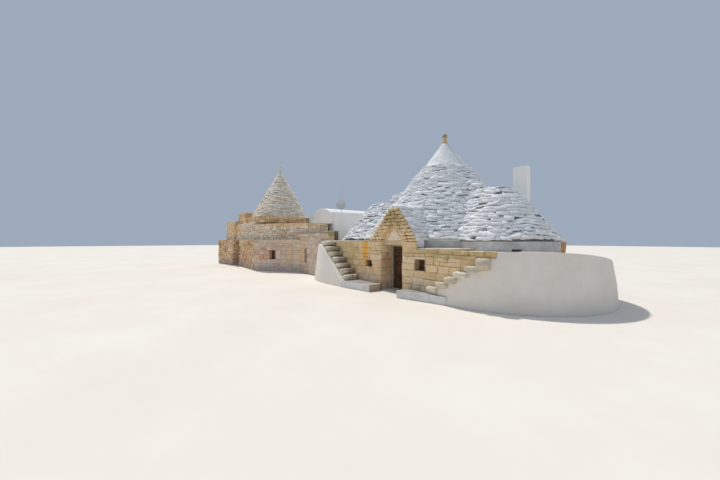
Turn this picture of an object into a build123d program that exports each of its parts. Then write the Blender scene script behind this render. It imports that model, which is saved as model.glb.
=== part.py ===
from build123d import *
import os
from math import acos, atan2, cos, degrees, hypot, radians, sin

# Trullo house: a limewashed stone cone with two side lobes, its ashlar front with a gabled doorway,
# and a low rubble wing on the left that carries a smaller bare stone cone and a white vaulted block.
# The origin is on the ground at the axis of the main cone. +X runs along the front to the right,
# the front faces -Y, +Z is up. All sizes are in millimetres.

# Main room and its walls
ROOM_RADIUS = 3000
DRUM_RADIUS = 3950
WALL_TOP = 1750
EAVE_LEVEL = 2050
FLOOR_THICKNESS = 50
RIGHT_FRONT_TOP = 1780

# The front is flat and stands a little before the round wall
FRONT_PROUD = 210

# Main cone, each point as radius and height
EAVE_OVERHANG = 100
CONE_SHOULDER = (1000, 5400)
CONE_NECK = (420, 6080)
CONE_TIP = (150, 6600)
DOME_TOP = (350, 5250)

# Right lobe
RIGHT_CENTRE = (3560, -1000)
RIGHT_ALCOVE_RADIUS = 1200
RIGHT_DRUM_RADIUS = 1880
RIGHT_EAVE_OVERHANG = 60
RIGHT_LOBE_TOP = (560, 4000)
RIGHT_LOBE_CROWN = 4200

# Left lobe
LEFT_CENTRE = (-3900, -1100)
LEFT_ALCOVE_RADIUS = 1300
LEFT_DRUM_RADIUS = 2050
LEFT_EAVE_OVERHANG = 70
LEFT_LOBE_TOP = (560, 4020)
LEFT_LOBE_CROWN = 4280

# Both lobes: where the crown bends, as shares of its radius and rise, and the hollow inside
LOBE_BEND = (0.6, 0.7)
LOBE_DOME_RISE = 1250
LOBE_DOME_TOP_RADIUS = 300

# Doorway
DOOR_LEFT = 0
DOOR_RIGHT = 1300
DOOR_HEIGHT = 1900
DOOR_SETBACK = 610
FRAME_DEPTH = 100
FRAME_WIDTH = 70
LEAF_GAP = 6
LEAF_THICKNESS = 45
LEAF_STILE = 90
LEAF_MID_RAIL = 1450
GLASS_THICKNESS = 12
HINGE_HEIGHTS = (350, 1500)
HINGE_LENGTH = 120
HINGE_RADIUS = 12
HINGE_PIN_RADIUS = 5
HINGE_CLEARANCE = 0.3
HINGE_PLATE = 5
HINGE_PLATE_WIDTH = 48
HANDLE_HEIGHT = 1000
HANDLE_PLATE = (40, 6, 180)
HANDLE_RADIUS = 9
HANDLE_NECK = 40
HANDLE_LEVER = 120

# Gable over the doorway
GABLE_LEFT = -900
GABLE_RIGHT = 2030
GABLE_SPRING = 2130
GABLE_TOP = 3370
GABLE_TOP_WIDTH = 500
GABLE_DEPTH = 500
GABLE_COURSES = 9
RECESS_DEPTH = 200
RECESS_SPRING = 2200
RECESS_APEX = 2800
LINTEL_HEIGHT = 200
LINTEL_BEARING = 150
TYMPANUM_WIDTH = 900
TYMPANUM_HEIGHT = 450
TYMPANUM_PROUD = 20
TYMPANUM_SET = 80
GABLE_ROOF_DROP = 130

# Windows, each as (centre in x, sill, width, height). The slanted wall's window is measured from
# the wall's left corner instead of in x.
RIGHT_WINDOW = (2200, 970, 480, 420)
LEFT_WINDOW = (-840, 920, 480, 290)
SLIT_WINDOW = (-7560, 700, 340, 880)
SLANTED_WINDOW = (1600, 790, 500, 620)
WINDOW_SETBACK = 220
WINDOW_FRAME = 45
WINDOW_FRAME_DEPTH = 60

# Benches and battered white walls. The right wall turns about the right lobe's centre, and its
# outer face is given as radius and height.
BENCH_HEIGHT = 275
LEFT_BENCH_END = 170
LEFT_BENCH_DEPTH = 720
RIGHT_BENCH_START = 1670
RIGHT_BENCH_DEPTH = 640
RIGHT_WALL_THICKNESS = 210
RIGHT_BATTER = ((3400, 0), (3350, 700), (3190, 1800))
RIGHT_BATTER_END = 50
BATTER_LIP = 40
LEFT_TURN_CENTRE = (-3300, -1350)
LEFT_BATTER_BASE = 3870
LEFT_BATTER_TOP = 3400
LEFT_BATTER_HEIGHT = 1870

# The right ledge falls towards the back: height at the plan origin and rise for each millimetre
LEDGE_HEIGHT = 450
LEDGE_RISE_X = 0.136
LEDGE_RISE_Y = -0.147

# Stepped stones: the first ones stand before the flat front, the others follow the turning wall
STEP_THICKNESS = 190
STEP_NOSE = 40
RIGHT_STEP_GOING = 400
RIGHT_STEP_FIRST_TOP = 520
RIGHT_STEP_RISE = 200
RIGHT_STEPS_FLAT = 2
RIGHT_STEPS_TURNED = 5
LEFT_STEP_GOING = 420
LEFT_STEP_FIRST_TOP = 500
LEFT_STEP_RISE = 310
LEFT_STEPS_FLAT = 4
LEFT_STEPS_TURNED = 2
LEFT_STEP_RADIUS = 3390

# Finials, their heights above the cone tips
MAIN_FINIAL_HEIGHT = 820
MAIN_FINIAL_BALL = 130
SMALL_FINIAL_HEIGHT = 590
SMALL_FINIAL_BALL = 140
FINIAL_NECK_SHARE = 0.6
FINIAL_FACETS = 6

# Chimney and floodlight
CHIMNEY_CENTRE = (3600, 350)
CHIMNEY_SIZE = (550, 310)
CHIMNEY_TOP = 5100
CHIMNEY_FLUE = (300, 130)
CHIMNEY_FLUE_DEPTH = 600
FLOODLIGHT_PLACE = (5100, -3000)
FLOODLIGHT_SIZE = (260, 90, 170)
FLOODLIGHT_FOOT = 60

# Low wing on the left
TERRACE_TOP = 2100
SLAB_THICKNESS = 250
WEST_FRONT_LEFT = (-20300, -6720)
WEST_FRONT_RIGHT = (-17050, -6230)
MIDDLE_LEFT = (-16050, -5930)
WING_CORNER = (-11560, -6070)
WING_BEND = (-8270, -4030)
WING_REAR_Y = 500
WEST_WALL = 1100
REAR_WALL = 800
LINK_WALL = 900
DRUM_EAST = -11300
LINK_ROOM_EAST = -6900
PASSAGE_HEIGHT = 1850
PASSAGE_WIDTH = 800

# Small trullo and the rubble tiers round it
SMALL_CENTRE = (-14000, -3250)
SMALL_ROOM_RADIUS = 1700
SMALL_EAVE_RADIUS = 2350
SMALL_EAVE = 3800
SMALL_CONE_TIP = (110, 7560)
SMALL_DOME_TOP = (300, 6300)
TIER_TWO_TOP = 3350
TIER_TWO_WEST_TOP = 3650
TIER_THREE_WEST_TOP = 4300
TIER_WEST_X = -17000
TIER_TWO_WEST_X = -18600
TIER_TWO_SET = 120
TIER_THREE_SET = 200
TIER_TWO_EAST = (-7760, -2900)
TIER_EAST_END = 530
TIER_EAST_DROP = 150
TIER_THREE_SPLIT_X = -15300
TIER_REAR_Y = -600

# White block behind the wing, with a barrel vault between its side walls
BLOCK_LEFT = DRUM_EAST
BLOCK_RIGHT = -7500
BLOCK_FRONT = -2000
BLOCK_REAR = 3500
BLOCK_WALL = 450
BLOCK_WALL_TOP = 3970
VAULT_SPRING = 3650
VAULT_CROWN = 4360
VAULT_THICKNESS = 300
BLOCK_DOOR_WIDTH = 900
SHOULDER_LEFT = -13000
SHOULDER_TOP = 4050

# Parapets, aerial and dish
LOW_PARAPET_START = 3600
LOW_PARAPET_TOP = 2500
HIGH_PARAPET_TOP = 2900
PARAPET_THICKNESS = 400
MAST_Y = -1320
MAST_TOP = 5900
MAST_RADIUS = 20
CROSSBAR_LENGTH = 700
CROSSBAR_RADIUS = 12
DISH_RADIUS = 325
DISH_HEIGHT = 4490
DISH_REACH = 150
DISH_DEPTH = 60
DISH_THICKNESS = 8

# Beyond the whole part, for cuts that go right through
FAR = 30000

# Places and sizes that follow from the ones above
FRONT_Y = -DRUM_RADIUS - FRONT_PROUD
EAVE_RADIUS = DRUM_RADIUS + EAVE_OVERHANG
RIGHT_EAVE_RADIUS = RIGHT_DRUM_RADIUS + RIGHT_EAVE_OVERHANG
LEFT_EAVE_RADIUS = LEFT_DRUM_RADIUS + LEFT_EAVE_OVERHANG
RIGHT_CORE_RADIUS = RIGHT_BATTER[-1][0] - RIGHT_WALL_THICKNESS
FRAME_FRONT_Y = FRONT_Y + DOOR_SETBACK
DOOR_MIDDLE = (DOOR_LEFT + DOOR_RIGHT) / 2
FRAME_BACK_Y = FRAME_FRONT_Y + FRAME_DEPTH
LEAF_LEFT = DOOR_LEFT + FRAME_WIDTH + LEAF_GAP
LEAF_RIGHT = DOOR_RIGHT - FRAME_WIDTH - LEAF_GAP
LEAF_LOW = FLOOR_THICKNESS + LEAF_GAP
LEAF_HIGH = DOOR_HEIGHT - FRAME_WIDTH - LEAF_GAP
HINGE_AXIS = (LEAF_LEFT - LEAF_GAP / 2, FRAME_BACK_Y + HINGE_RADIUS)
INSIDE_Y = -ROOM_RADIUS / 2
GABLE_MIDDLE = (GABLE_LEFT + GABLE_RIGHT) / 2
GABLE_BACK = FRONT_Y + GABLE_DEPTH
RECESS_Y = FRONT_Y + RECESS_DEPTH
TYMPANUM_FOOT = DOOR_HEIGHT + LINTEL_HEIGHT
RIGHT_FACE_RADIUS = RIGHT_CENTRE[1] - FRONT_Y
LEFT_FACE_RADIUS = LEFT_TURN_CENTRE[1] - FRONT_Y
RIGHT_STEP_TURN = degrees(RIGHT_STEP_GOING / RIGHT_FACE_RADIUS)
LEFT_STEP_TURN = degrees(LEFT_STEP_GOING / LEFT_FACE_RADIUS)
RIGHT_STEPS_START = RIGHT_CENTRE[0] - RIGHT_STEPS_FLAT * RIGHT_STEP_GOING
LEFT_STEPS_START = LEFT_TURN_CENTRE[0] + LEFT_STEPS_FLAT * LEFT_STEP_GOING
STAIR_END = -90 + RIGHT_STEPS_TURNED * RIGHT_STEP_TURN
LINK_ROOM_FRONT = WING_BEND[1] + LINK_WALL
BLOCK_MIDDLE = (BLOCK_LEFT + BLOCK_RIGHT) / 2
BLOCK_INSIDE_LEFT = BLOCK_LEFT + BLOCK_WALL
BLOCK_INSIDE_RIGHT = BLOCK_RIGHT - BLOCK_WALL


def disc(centre, radius):
    return Pos(*centre) * Circle(radius)


def area(*points):
    return make_face(Polyline(*points, close=True))


def oblong(x_low, x_high, y_low, y_high):
    centre = Pos((x_low + x_high) / 2, (y_low + y_high) / 2)
    return centre * Rectangle(x_high - x_low, y_high - y_low)


def rise(plan, low, high):
    """A plan carried up from one height to another."""
    return extrude(Pos(0, 0, low) * plan, high - low, dir=(0, 0, 1))


def slab(x_low, x_high, y_low, y_high, low, high):
    return rise(oblong(x_low, x_high, y_low, y_high), low, high)


def turned(points, centre, start=0, sweep=360):
    """A section of radii and heights, turned about an upright axis."""
    profile = make_face(Plane.XZ * Polyline(*points, close=True))
    return Pos(*centre) * Rot(0, 0, start) * revolve(profile, Axis.Z, revolution_arc=sweep)


def front_panel(points, y_low, y_high):
    """A shape drawn on the front, in x and z, and carried from y_low to y_high."""
    outline = make_face(Plane.XZ.offset(-y_low) * Polyline(*points, close=True))
    return extrude(outline, y_high - y_low, dir=(0, 1, 0))


def side_panel(points, x_low, x_high):
    """A shape drawn on the side, in y and z, and carried from x_low to x_high."""
    outline = make_face(Plane.YZ.offset(x_low) * Polyline(*points, close=True))
    return extrude(outline, x_high - x_low, dir=(1, 0, 0))


def sector(centre, radius, start, end, steps=6):
    """A pie piece in plan, its rim outside the given radius."""
    reach = radius / cos(radians((end - start) / steps / 2))
    rim = []
    for i in range(steps + 1):
        angle = radians(start + (end - start) * i / steps)
        rim.append((centre[0] + reach * cos(angle), centre[1] + reach * sin(angle)))
    return area(centre, *rim)


def along(start, end, distance, offset=0):
    """A point on the line from start to end, moved inwards (to its left) by offset."""
    length = hypot(end[0] - start[0], end[1] - start[1])
    step = ((end[0] - start[0]) / length, (end[1] - start[1]) / length)
    x = start[0] + step[0] * distance - step[1] * offset
    y = start[1] + step[1] * distance + step[0] * offset
    return (x, y)


def at_x(start, end, x):
    """The point with the given x on the line through two points."""
    share = (x - start[0]) / (end[0] - start[0])
    return (x, start[1] + share * (end[1] - start[1]))


def at_y(start, end, y):
    """The point with the given y on the line through two points."""
    share = (y - start[1]) / (end[1] - start[1])
    return (start[0] + share * (end[0] - start[0]), y)


def ledge_height(x, y):
    return LEDGE_HEIGHT + LEDGE_RISE_X * x + LEDGE_RISE_Y * y


def above_ledge(raised=0):
    """Everything above the falling plane of the right ledge."""
    tilt = Plane(
        origin=(0, 0, LEDGE_HEIGHT + raised),
        x_dir=(1, 0, LEDGE_RISE_X),
        z_dir=(-LEDGE_RISE_X, -LEDGE_RISE_Y, 1),
    )
    return extrude(tilt * Rectangle(FAR, FAR), FAR)


def lobe_solid(centre, eave_radius, top, crown):
    """A cone with a rounded crown, drawn out along a level ridge towards the main cone."""
    radius, height = top
    bend = (radius * LOBE_BEND[0], height + (crown - height) * LOBE_BEND[1])
    half = [(eave_radius, EAVE_LEVEL), (radius, height), bend, (0, crown)]
    mirrored = [(-x, z) for x, z in reversed(half[:-1])]
    ridge = side_panel([*half, *mirrored], 0, hypot(*centre))
    turn = degrees(atan2(-centre[1], -centre[0]))
    return turned([(0, EAVE_LEVEL), *half], centre) + Pos(*centre) * Rot(0, 0, turn) * ridge


def gable_outline():
    """The stepped front of the gable, over the left wall, the doorway and the right wall."""
    last = GABLE_COURSES - 1
    left_step = (GABLE_MIDDLE - GABLE_TOP_WIDTH / 2 - GABLE_LEFT) / last
    right_step = (GABLE_RIGHT - GABLE_MIDDLE - GABLE_TOP_WIDTH / 2) / last
    course = (GABLE_TOP - GABLE_SPRING) / GABLE_COURSES
    left = []
    right = []
    for i in range(GABLE_COURSES):
        low, high = GABLE_SPRING + i * course, GABLE_SPRING + (i + 1) * course
        left += [(GABLE_LEFT + i * left_step, low), (GABLE_LEFT + i * left_step, high)]
        right += [(GABLE_RIGHT - i * right_step, low), (GABLE_RIGHT - i * right_step, high)]
    left = [(GABLE_LEFT, EAVE_LEVEL)] + left[1:]
    right = [(GABLE_RIGHT, RIGHT_FRONT_TOP)] + right[1:]
    foot = [
        (DOOR_RIGHT, RIGHT_FRONT_TOP),
        (DOOR_RIGHT, DOOR_HEIGHT),
        (DOOR_LEFT, DOOR_HEIGHT),
        (DOOR_LEFT, EAVE_LEVEL),
    ]
    return left + right[::-1] + foot


def window_cut(place):
    centre, sill, width, height = place
    left, right = centre - width / 2, centre + width / 2
    return slab(left, right, -FAR, INSIDE_Y, sill, sill + height)


# Plans and solids that several pieces share
ROOMS = (
    disc((0, 0), ROOM_RADIUS)
    + disc(RIGHT_CENTRE, RIGHT_ALCOVE_RADIUS)
    + disc(LEFT_CENTRE, LEFT_ALCOVE_RADIUS)
)
DRUMS = (
    disc((0, 0), DRUM_RADIUS)
    + disc(RIGHT_CENTRE, RIGHT_DRUM_RADIUS)
    + disc(LEFT_CENTRE, LEFT_DRUM_RADIUS)
)
CONE_OUTLINE = [(EAVE_RADIUS, EAVE_LEVEL), CONE_SHOULDER, CONE_NECK, CONE_TIP, (0, CONE_TIP[1])]
MAIN_CONE_SOLID = turned([(0, EAVE_LEVEL), *CONE_OUTLINE], (0, 0))
RIGHT_LOBE_SOLID = lobe_solid(RIGHT_CENTRE, RIGHT_EAVE_RADIUS, RIGHT_LOBE_TOP, RIGHT_LOBE_CROWN)
LEFT_LOBE_SOLID = lobe_solid(LEFT_CENTRE, LEFT_EAVE_RADIUS, LEFT_LOBE_TOP, LEFT_LOBE_CROWN)
GABLE_SOLID = front_panel(gable_outline(), FRONT_Y, GABLE_BACK)
LINTEL = slab(
    DOOR_LEFT - LINTEL_BEARING,
    DOOR_RIGHT + LINTEL_BEARING,
    RECESS_Y,
    GABLE_BACK,
    DOOR_HEIGHT,
    TYMPANUM_FOOT,
)
TYMPANUM = front_panel(
    [
        (DOOR_MIDDLE - TYMPANUM_WIDTH / 2, TYMPANUM_FOOT),
        (DOOR_MIDDLE + TYMPANUM_WIDTH / 2, TYMPANUM_FOOT),
        (DOOR_MIDDLE, TYMPANUM_FOOT + TYMPANUM_HEIGHT),
    ],
    RECESS_Y - TYMPANUM_PROUD,
    RECESS_Y + TYMPANUM_SET,
)

parts = {}


def front_walls():
    plan = oblong(LEFT_TURN_CENTRE[0], DOOR_LEFT, FRONT_Y, LEFT_CENTRE[1]) - ROOMS
    wall = rise(plan, 0, WALL_TOP) + rise(plan - DRUMS, WALL_TOP, EAVE_LEVEL)
    parts["front_wall_left"] = wall - window_cut(LEFT_WINDOW) - LINTEL

    plan = oblong(DOOR_RIGHT, RIGHT_CENTRE[0], FRONT_Y, RIGHT_CENTRE[1]) - ROOMS
    wall = rise(plan, 0, WALL_TOP) + rise(plan - DRUMS, WALL_TOP, RIGHT_FRONT_TOP)
    parts["front_wall_right"] = wall - window_cut(RIGHT_WINDOW) - GABLE_SOLID


def right_ledge():
    """The masonry behind the right white wall, its top falling to the back."""
    outside = rise(disc(RIGHT_CENTRE, RIGHT_FACE_RADIUS) - DRUMS, 0, 2 * WALL_TOP) & above_ledge()
    reach = sector(RIGHT_CENTRE, RIGHT_FACE_RADIUS, -90, STAIR_END)
    front = disc(RIGHT_CENTRE, RIGHT_FACE_RADIUS) & reach
    parts["right_ledge_front"] = rise(front - ROOMS, 0, WALL_TOP) - outside
    reach = sector(RIGHT_CENTRE, RIGHT_CORE_RADIUS, STAIR_END, RIGHT_BATTER_END)
    side = disc(RIGHT_CENTRE, RIGHT_CORE_RADIUS) & reach
    parts["right_ledge_side"] = rise(side - ROOMS, 0, WALL_TOP) - outside


def rear_walls():
    turn = sector(RIGHT_CENTRE, 2 * RIGHT_FACE_RADIUS, -90, RIGHT_BATTER_END)
    right = (DRUMS & oblong(0, FAR, RIGHT_CENTRE[1], FAR)) - ROOMS - turn
    parts["rear_wall_right"] = rise(right, 0, WALL_TOP)
    left = (DRUMS & oblong(-FAR, 0, 0, FAR)) - ROOMS
    court = oblong(BLOCK_RIGHT, LEFT_CENTRE[0], 0, WING_REAR_Y) - ROOMS
    wall = rise(left + court, 0, WALL_TOP)
    parts["rear_wall_left"] = wall + rise(court - DRUMS, WALL_TOP, EAVE_LEVEL)


def left_ledge():
    """The masonry between the left alcove, the link room and the turning white wall."""
    flank = LEFT_TURN_CENTRE[0]
    turn = disc(LEFT_TURN_CENTRE, LEFT_FACE_RADIUS) & oblong(-FAR, flank, FRONT_Y, 0)
    plan = turn + oblong(LINK_ROOM_EAST, flank, WING_BEND[1], 0)
    plan = plan + oblong(BLOCK_RIGHT, LINK_ROOM_EAST, BLOCK_FRONT, 0) - ROOMS
    parts["left_ledge"] = rise(plan, 0, WALL_TOP) + rise(plan - DRUMS, WALL_TOP, EAVE_LEVEL)


def plinth_drum():
    """The smooth band under the slates, over the three round walls."""
    doorway = slab(DOOR_LEFT, DOOR_RIGHT, -FAR, 0, 0, DOOR_HEIGHT)
    drum = rise(DRUMS - ROOMS, WALL_TOP, EAVE_LEVEL)
    parts["plinth_drum"] = drum - doorway - GABLE_SOLID - LINTEL


def roofs():
    shell = [(ROOM_RADIUS, EAVE_LEVEL), *CONE_OUTLINE, (0, DOME_TOP[1]), DOME_TOP]
    parts["main_cone"] = turned(shell, (0, 0)) - GABLE_SOLID
    lobes = (
        ("right_lobe", RIGHT_LOBE_SOLID, RIGHT_CENTRE, RIGHT_ALCOVE_RADIUS),
        ("left_lobe", LEFT_LOBE_SOLID, LEFT_CENTRE, LEFT_ALCOVE_RADIUS),
    )
    for name, solid, centre, radius in lobes:
        top = EAVE_LEVEL + LOBE_DOME_RISE
        dome = [(0, EAVE_LEVEL), (radius, EAVE_LEVEL), (LOBE_DOME_TOP_RADIUS, top), (0, top)]
        parts[name] = solid - MAIN_CONE_SOLID - turned(dome, centre)

    pitch = [
        (GABLE_LEFT + GABLE_ROOF_DROP, EAVE_LEVEL),
        (GABLE_RIGHT - GABLE_ROOF_DROP, EAVE_LEVEL),
        (GABLE_MIDDLE, GABLE_TOP - GABLE_ROOF_DROP),
    ]
    parts["gable_roof"] = front_panel(pitch, GABLE_BACK, INSIDE_Y) - MAIN_CONE_SOLID


def gable():
    recess = [
        (DOOR_LEFT, 0),
        (DOOR_RIGHT, 0),
        (DOOR_RIGHT, RECESS_SPRING),
        (DOOR_MIDDLE, RECESS_APEX),
        (DOOR_LEFT, RECESS_SPRING),
    ]
    front = GABLE_SOLID - front_panel(recess, FRONT_Y, RECESS_Y)
    parts["door_gable"] = front - LINTEL - TYMPANUM
    parts["door_lintel"] = LINTEL
    parts["tympanum_stone"] = TYMPANUM


def hinge_cylinder(radius, low, high):
    return Pos(*HINGE_AXIS, (low + high) / 2) * Cylinder(radius, high - low)


def door():
    """The fixed frame and the leaf with two glazed fields, on two knuckle hinges."""
    head = DOOR_HEIGHT - FRAME_WIDTH
    inside = slab(DOOR_LEFT + FRAME_WIDTH, DOOR_RIGHT - FRAME_WIDTH, -FAR, 0, 0, head)
    frame = slab(DOOR_LEFT, DOOR_RIGHT, FRAME_FRONT_Y, FRAME_BACK_Y, FLOOR_THICKNESS, DOOR_HEIGHT)
    frame -= inside

    leaf_front = FRAME_BACK_Y - LEAF_THICKNESS
    leaf = slab(LEAF_LEFT, LEAF_RIGHT, leaf_front, FRAME_BACK_Y, LEAF_LOW, LEAF_HIGH)
    fields = (
        (LEAF_LOW + LEAF_STILE, LEAF_MID_RAIL),
        (LEAF_MID_RAIL + LEAF_STILE, LEAF_HIGH - LEAF_STILE),
    )
    sides = (LEAF_LEFT + LEAF_STILE, LEAF_RIGHT - LEAF_STILE)
    glass_front = FRAME_BACK_Y - (LEAF_THICKNESS + GLASS_THICKNESS) / 2
    panes = []
    for low, high in fields:
        leaf -= slab(*sides, -FAR, 0, low, high)
        panes.append(slab(*sides, glass_front, glass_front + GLASS_THICKNESS, low, high))

    x = HINGE_AXIS[0]
    third = HINGE_LENGTH / 3
    plate = (FRAME_BACK_Y, FRAME_BACK_Y + HINGE_PLATE)
    for low in HINGE_HEIGHTS:
        knuckle = (low + third + HINGE_CLEARANCE, low + 2 * third - HINGE_CLEARANCE)
        for start in (low, low + 2 * third):
            frame += hinge_cylinder(HINGE_RADIUS, start, start + third)
            frame += slab(x - HINGE_PLATE_WIDTH, x, *plate, start, start + third)
        frame += hinge_cylinder(HINGE_PIN_RADIUS, low, low + HINGE_LENGTH)
        leaf += hinge_cylinder(HINGE_RADIUS, *knuckle)
        leaf += slab(x, x + HINGE_PLATE_WIDTH, *plate, *knuckle)
        leaf -= hinge_cylinder(HINGE_PIN_RADIUS + HINGE_CLEARANCE, low, low + HINGE_LENGTH)
    parts["door_frame"] = frame
    parts["front_door"] = leaf
    parts["door_glass"] = Compound(panes)

    x = LEAF_RIGHT - LEAF_STILE / 2
    width, thickness, height = HANDLE_PLATE
    face = leaf_front - thickness
    neck_y = face - HANDLE_NECK / 2
    lever_y = face - HANDLE_NECK
    low, high = HANDLE_HEIGHT - height / 2, HANDLE_HEIGHT + height / 2
    handle = slab(x - width / 2, x + width / 2, face, leaf_front, low, high)
    handle += Pos(x, neck_y, HANDLE_HEIGHT) * Rot(90, 0, 0) * Cylinder(HANDLE_RADIUS, HANDLE_NECK)
    lever = Rot(0, 90, 0) * Cylinder(HANDLE_RADIUS, HANDLE_LEVER)
    parts["door_handle"] = handle + Pos(x - HANDLE_LEVER / 2 + HANDLE_RADIUS, lever_y, HANDLE_HEIGHT) * lever


def ring_cut(face_radius, low):
    """The section of a cut that takes everything outside a radius and above a height."""
    return [(face_radius, low), (FAR, low), (FAR, FAR), (face_radius, FAR)]


def right_white_wall():
    """The battered wall that turns to the back, with the stepped stones set in its front."""
    batter = RIGHT_BATTER
    top = batter[-1][1]
    skin = [(RIGHT_CORE_RADIUS, 0), *batter, (RIGHT_CORE_RADIUS, top)]
    side = turned(skin, RIGHT_CENTRE, STAIR_END, RIGHT_BATTER_END - STAIR_END)
    side -= above_ledge(BATTER_LIP)

    profile = [(RIGHT_FACE_RADIUS, 0), *batter, (RIGHT_FACE_RADIUS, top)]
    stairs = turned(profile, RIGHT_CENTRE, -90, STAIR_END + 90)
    flat_profile = [(RIGHT_CENTRE[1] - r, z) for r, z in profile]
    flat = side_panel(flat_profile, RIGHT_STEPS_START, RIGHT_CENTRE[0])
    flat -= slab(-FAR, FAR, -FAR, FAR, 0, BENCH_HEIGHT)
    nose = batter[0][0] + STEP_NOSE
    steps = []
    for i in range(RIGHT_STEPS_FLAT + RIGHT_STEPS_TURNED):
        high = RIGHT_STEP_FIRST_TOP + i * RIGHT_STEP_RISE
        low = high - STEP_THICKNESS
        if i < RIGHT_STEPS_FLAT:
            left = RIGHT_STEPS_START + i * RIGHT_STEP_GOING
            right = left + RIGHT_STEP_GOING
            steps.append(slab(left, right, RIGHT_CENTRE[1] - nose, FRONT_Y, low, high))
            flat -= slab(left, right, -FAR, FRONT_Y, low, FAR)
        else:
            start = -90 + (i - RIGHT_STEPS_FLAT) * RIGHT_STEP_TURN
            ring = [(RIGHT_FACE_RADIUS, low), (nose, low), (nose, high), (RIGHT_FACE_RADIUS, high)]
            steps.append(turned(ring, RIGHT_CENTRE, start, RIGHT_STEP_TURN))
            over = ring_cut(RIGHT_FACE_RADIUS, low)
            stairs -= turned(over, RIGHT_CENTRE, start, RIGHT_STEP_TURN)
    parts["right_white_wall"] = side + stairs + flat
    return steps


def left_white_wall():
    """The battered wall that turns to the left, with the stepped stones set in its front."""
    centre = LEFT_TURN_CENTRE
    profile = [
        (LEFT_FACE_RADIUS, 0),
        (LEFT_BATTER_BASE, 0),
        (LEFT_BATTER_TOP, LEFT_BATTER_HEIGHT),
        (LEFT_FACE_RADIUS, LEFT_BATTER_HEIGHT),
    ]
    turn = turned(profile, centre, -180, 90) & slab(-FAR, FAR, -FAR, WING_BEND[1], 0, FAR)
    flat = side_panel([(centre[1] - r, z) for r, z in profile], centre[0], LEFT_STEPS_START)
    steps = []
    for i in range(LEFT_STEPS_FLAT + LEFT_STEPS_TURNED):
        high = LEFT_STEP_FIRST_TOP + i * LEFT_STEP_RISE
        low = high - STEP_THICKNESS
        if i < LEFT_STEPS_FLAT:
            right = LEFT_STEPS_START - i * LEFT_STEP_GOING
            left = right - LEFT_STEP_GOING
            steps.append(slab(left, right, centre[1] - LEFT_STEP_RADIUS, FRONT_Y, low, high))
            flat -= slab(left, right, -FAR, FRONT_Y, low, FAR)
        else:
            start = -90 - (i - LEFT_STEPS_FLAT + 1) * LEFT_STEP_TURN
            ring = [
                (LEFT_FACE_RADIUS, low),
                (LEFT_STEP_RADIUS, low),
                (LEFT_STEP_RADIUS, high),
                (LEFT_FACE_RADIUS, high),
            ]
            steps.append(turned(ring, centre, start, LEFT_STEP_TURN))
            turn -= turned(ring_cut(LEFT_FACE_RADIUS, low), centre, start, LEFT_STEP_TURN)
    parts["left_white_wall"] = turn + flat
    return steps


def benches():
    left = area(
        (LEFT_STEPS_START, FRONT_Y),
        (LEFT_STEPS_START, LEFT_TURN_CENTRE[1] - LEFT_BATTER_BASE),
        (LEFT_BENCH_END, FRONT_Y - LEFT_BENCH_DEPTH),
        (DOOR_LEFT, FRONT_Y),
    )
    right = area(
        (RIGHT_BENCH_START, FRONT_Y),
        (RIGHT_BENCH_START, FRONT_Y - RIGHT_BENCH_DEPTH),
        (RIGHT_CENTRE[0], RIGHT_CENTRE[1] - RIGHT_BATTER[0][0]),
        (RIGHT_CENTRE[0], FRONT_Y),
    )
    parts["benches"] = Compound([rise(left, 0, BENCH_HEIGHT), rise(right, 0, BENCH_HEIGHT)])


def finial(foot_radius, foot, height, ball):
    """A round stem on a wider foot, with a roughly carved ball on top."""
    neck = ball * FINIAL_NECK_SHARE
    middle = foot + height - ball
    stem = [
        (0, foot),
        (foot_radius, foot),
        (foot_radius, foot + ball / 2),
        (neck, foot + ball),
    ]
    start = degrees(acos(FINIAL_NECK_SHARE))
    for i in range(FINIAL_FACETS + 1):
        angle = radians(-start + (90 + start) * i / FINIAL_FACETS)
        stem.append((ball * cos(angle), middle + ball * sin(angle)))
    return turned(stem, (0, 0))


def roof_pieces():
    parts["main_finial"] = finial(*CONE_TIP, MAIN_FINIAL_HEIGHT, MAIN_FINIAL_BALL)
    x, y = CHIMNEY_CENTRE
    width, depth = CHIMNEY_SIZE
    stack = slab(x - width / 2, x + width / 2, y - depth / 2, y + depth / 2, EAVE_LEVEL, CHIMNEY_TOP)
    width, depth = CHIMNEY_FLUE
    foot = CHIMNEY_TOP - CHIMNEY_FLUE_DEPTH
    stack -= slab(x - width / 2, x + width / 2, y - depth / 2, y + depth / 2, foot, CHIMNEY_TOP)
    parts["chimney"] = stack - RIGHT_LOBE_SOLID - MAIN_CONE_SOLID

    x, y = FLOODLIGHT_PLACE
    width, depth, height = FLOODLIGHT_SIZE
    low = ledge_height(x, y) + FLOODLIGHT_FOOT
    head = slab(x - width / 2, x + width / 2, y - depth / 2, y + depth / 2, low, low + height)
    foot = slab(x - depth / 4, x + depth / 4, y - depth / 4, y + depth / 4, low - height, low)
    parts["floodlight"] = head + (foot & above_ledge())


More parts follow.
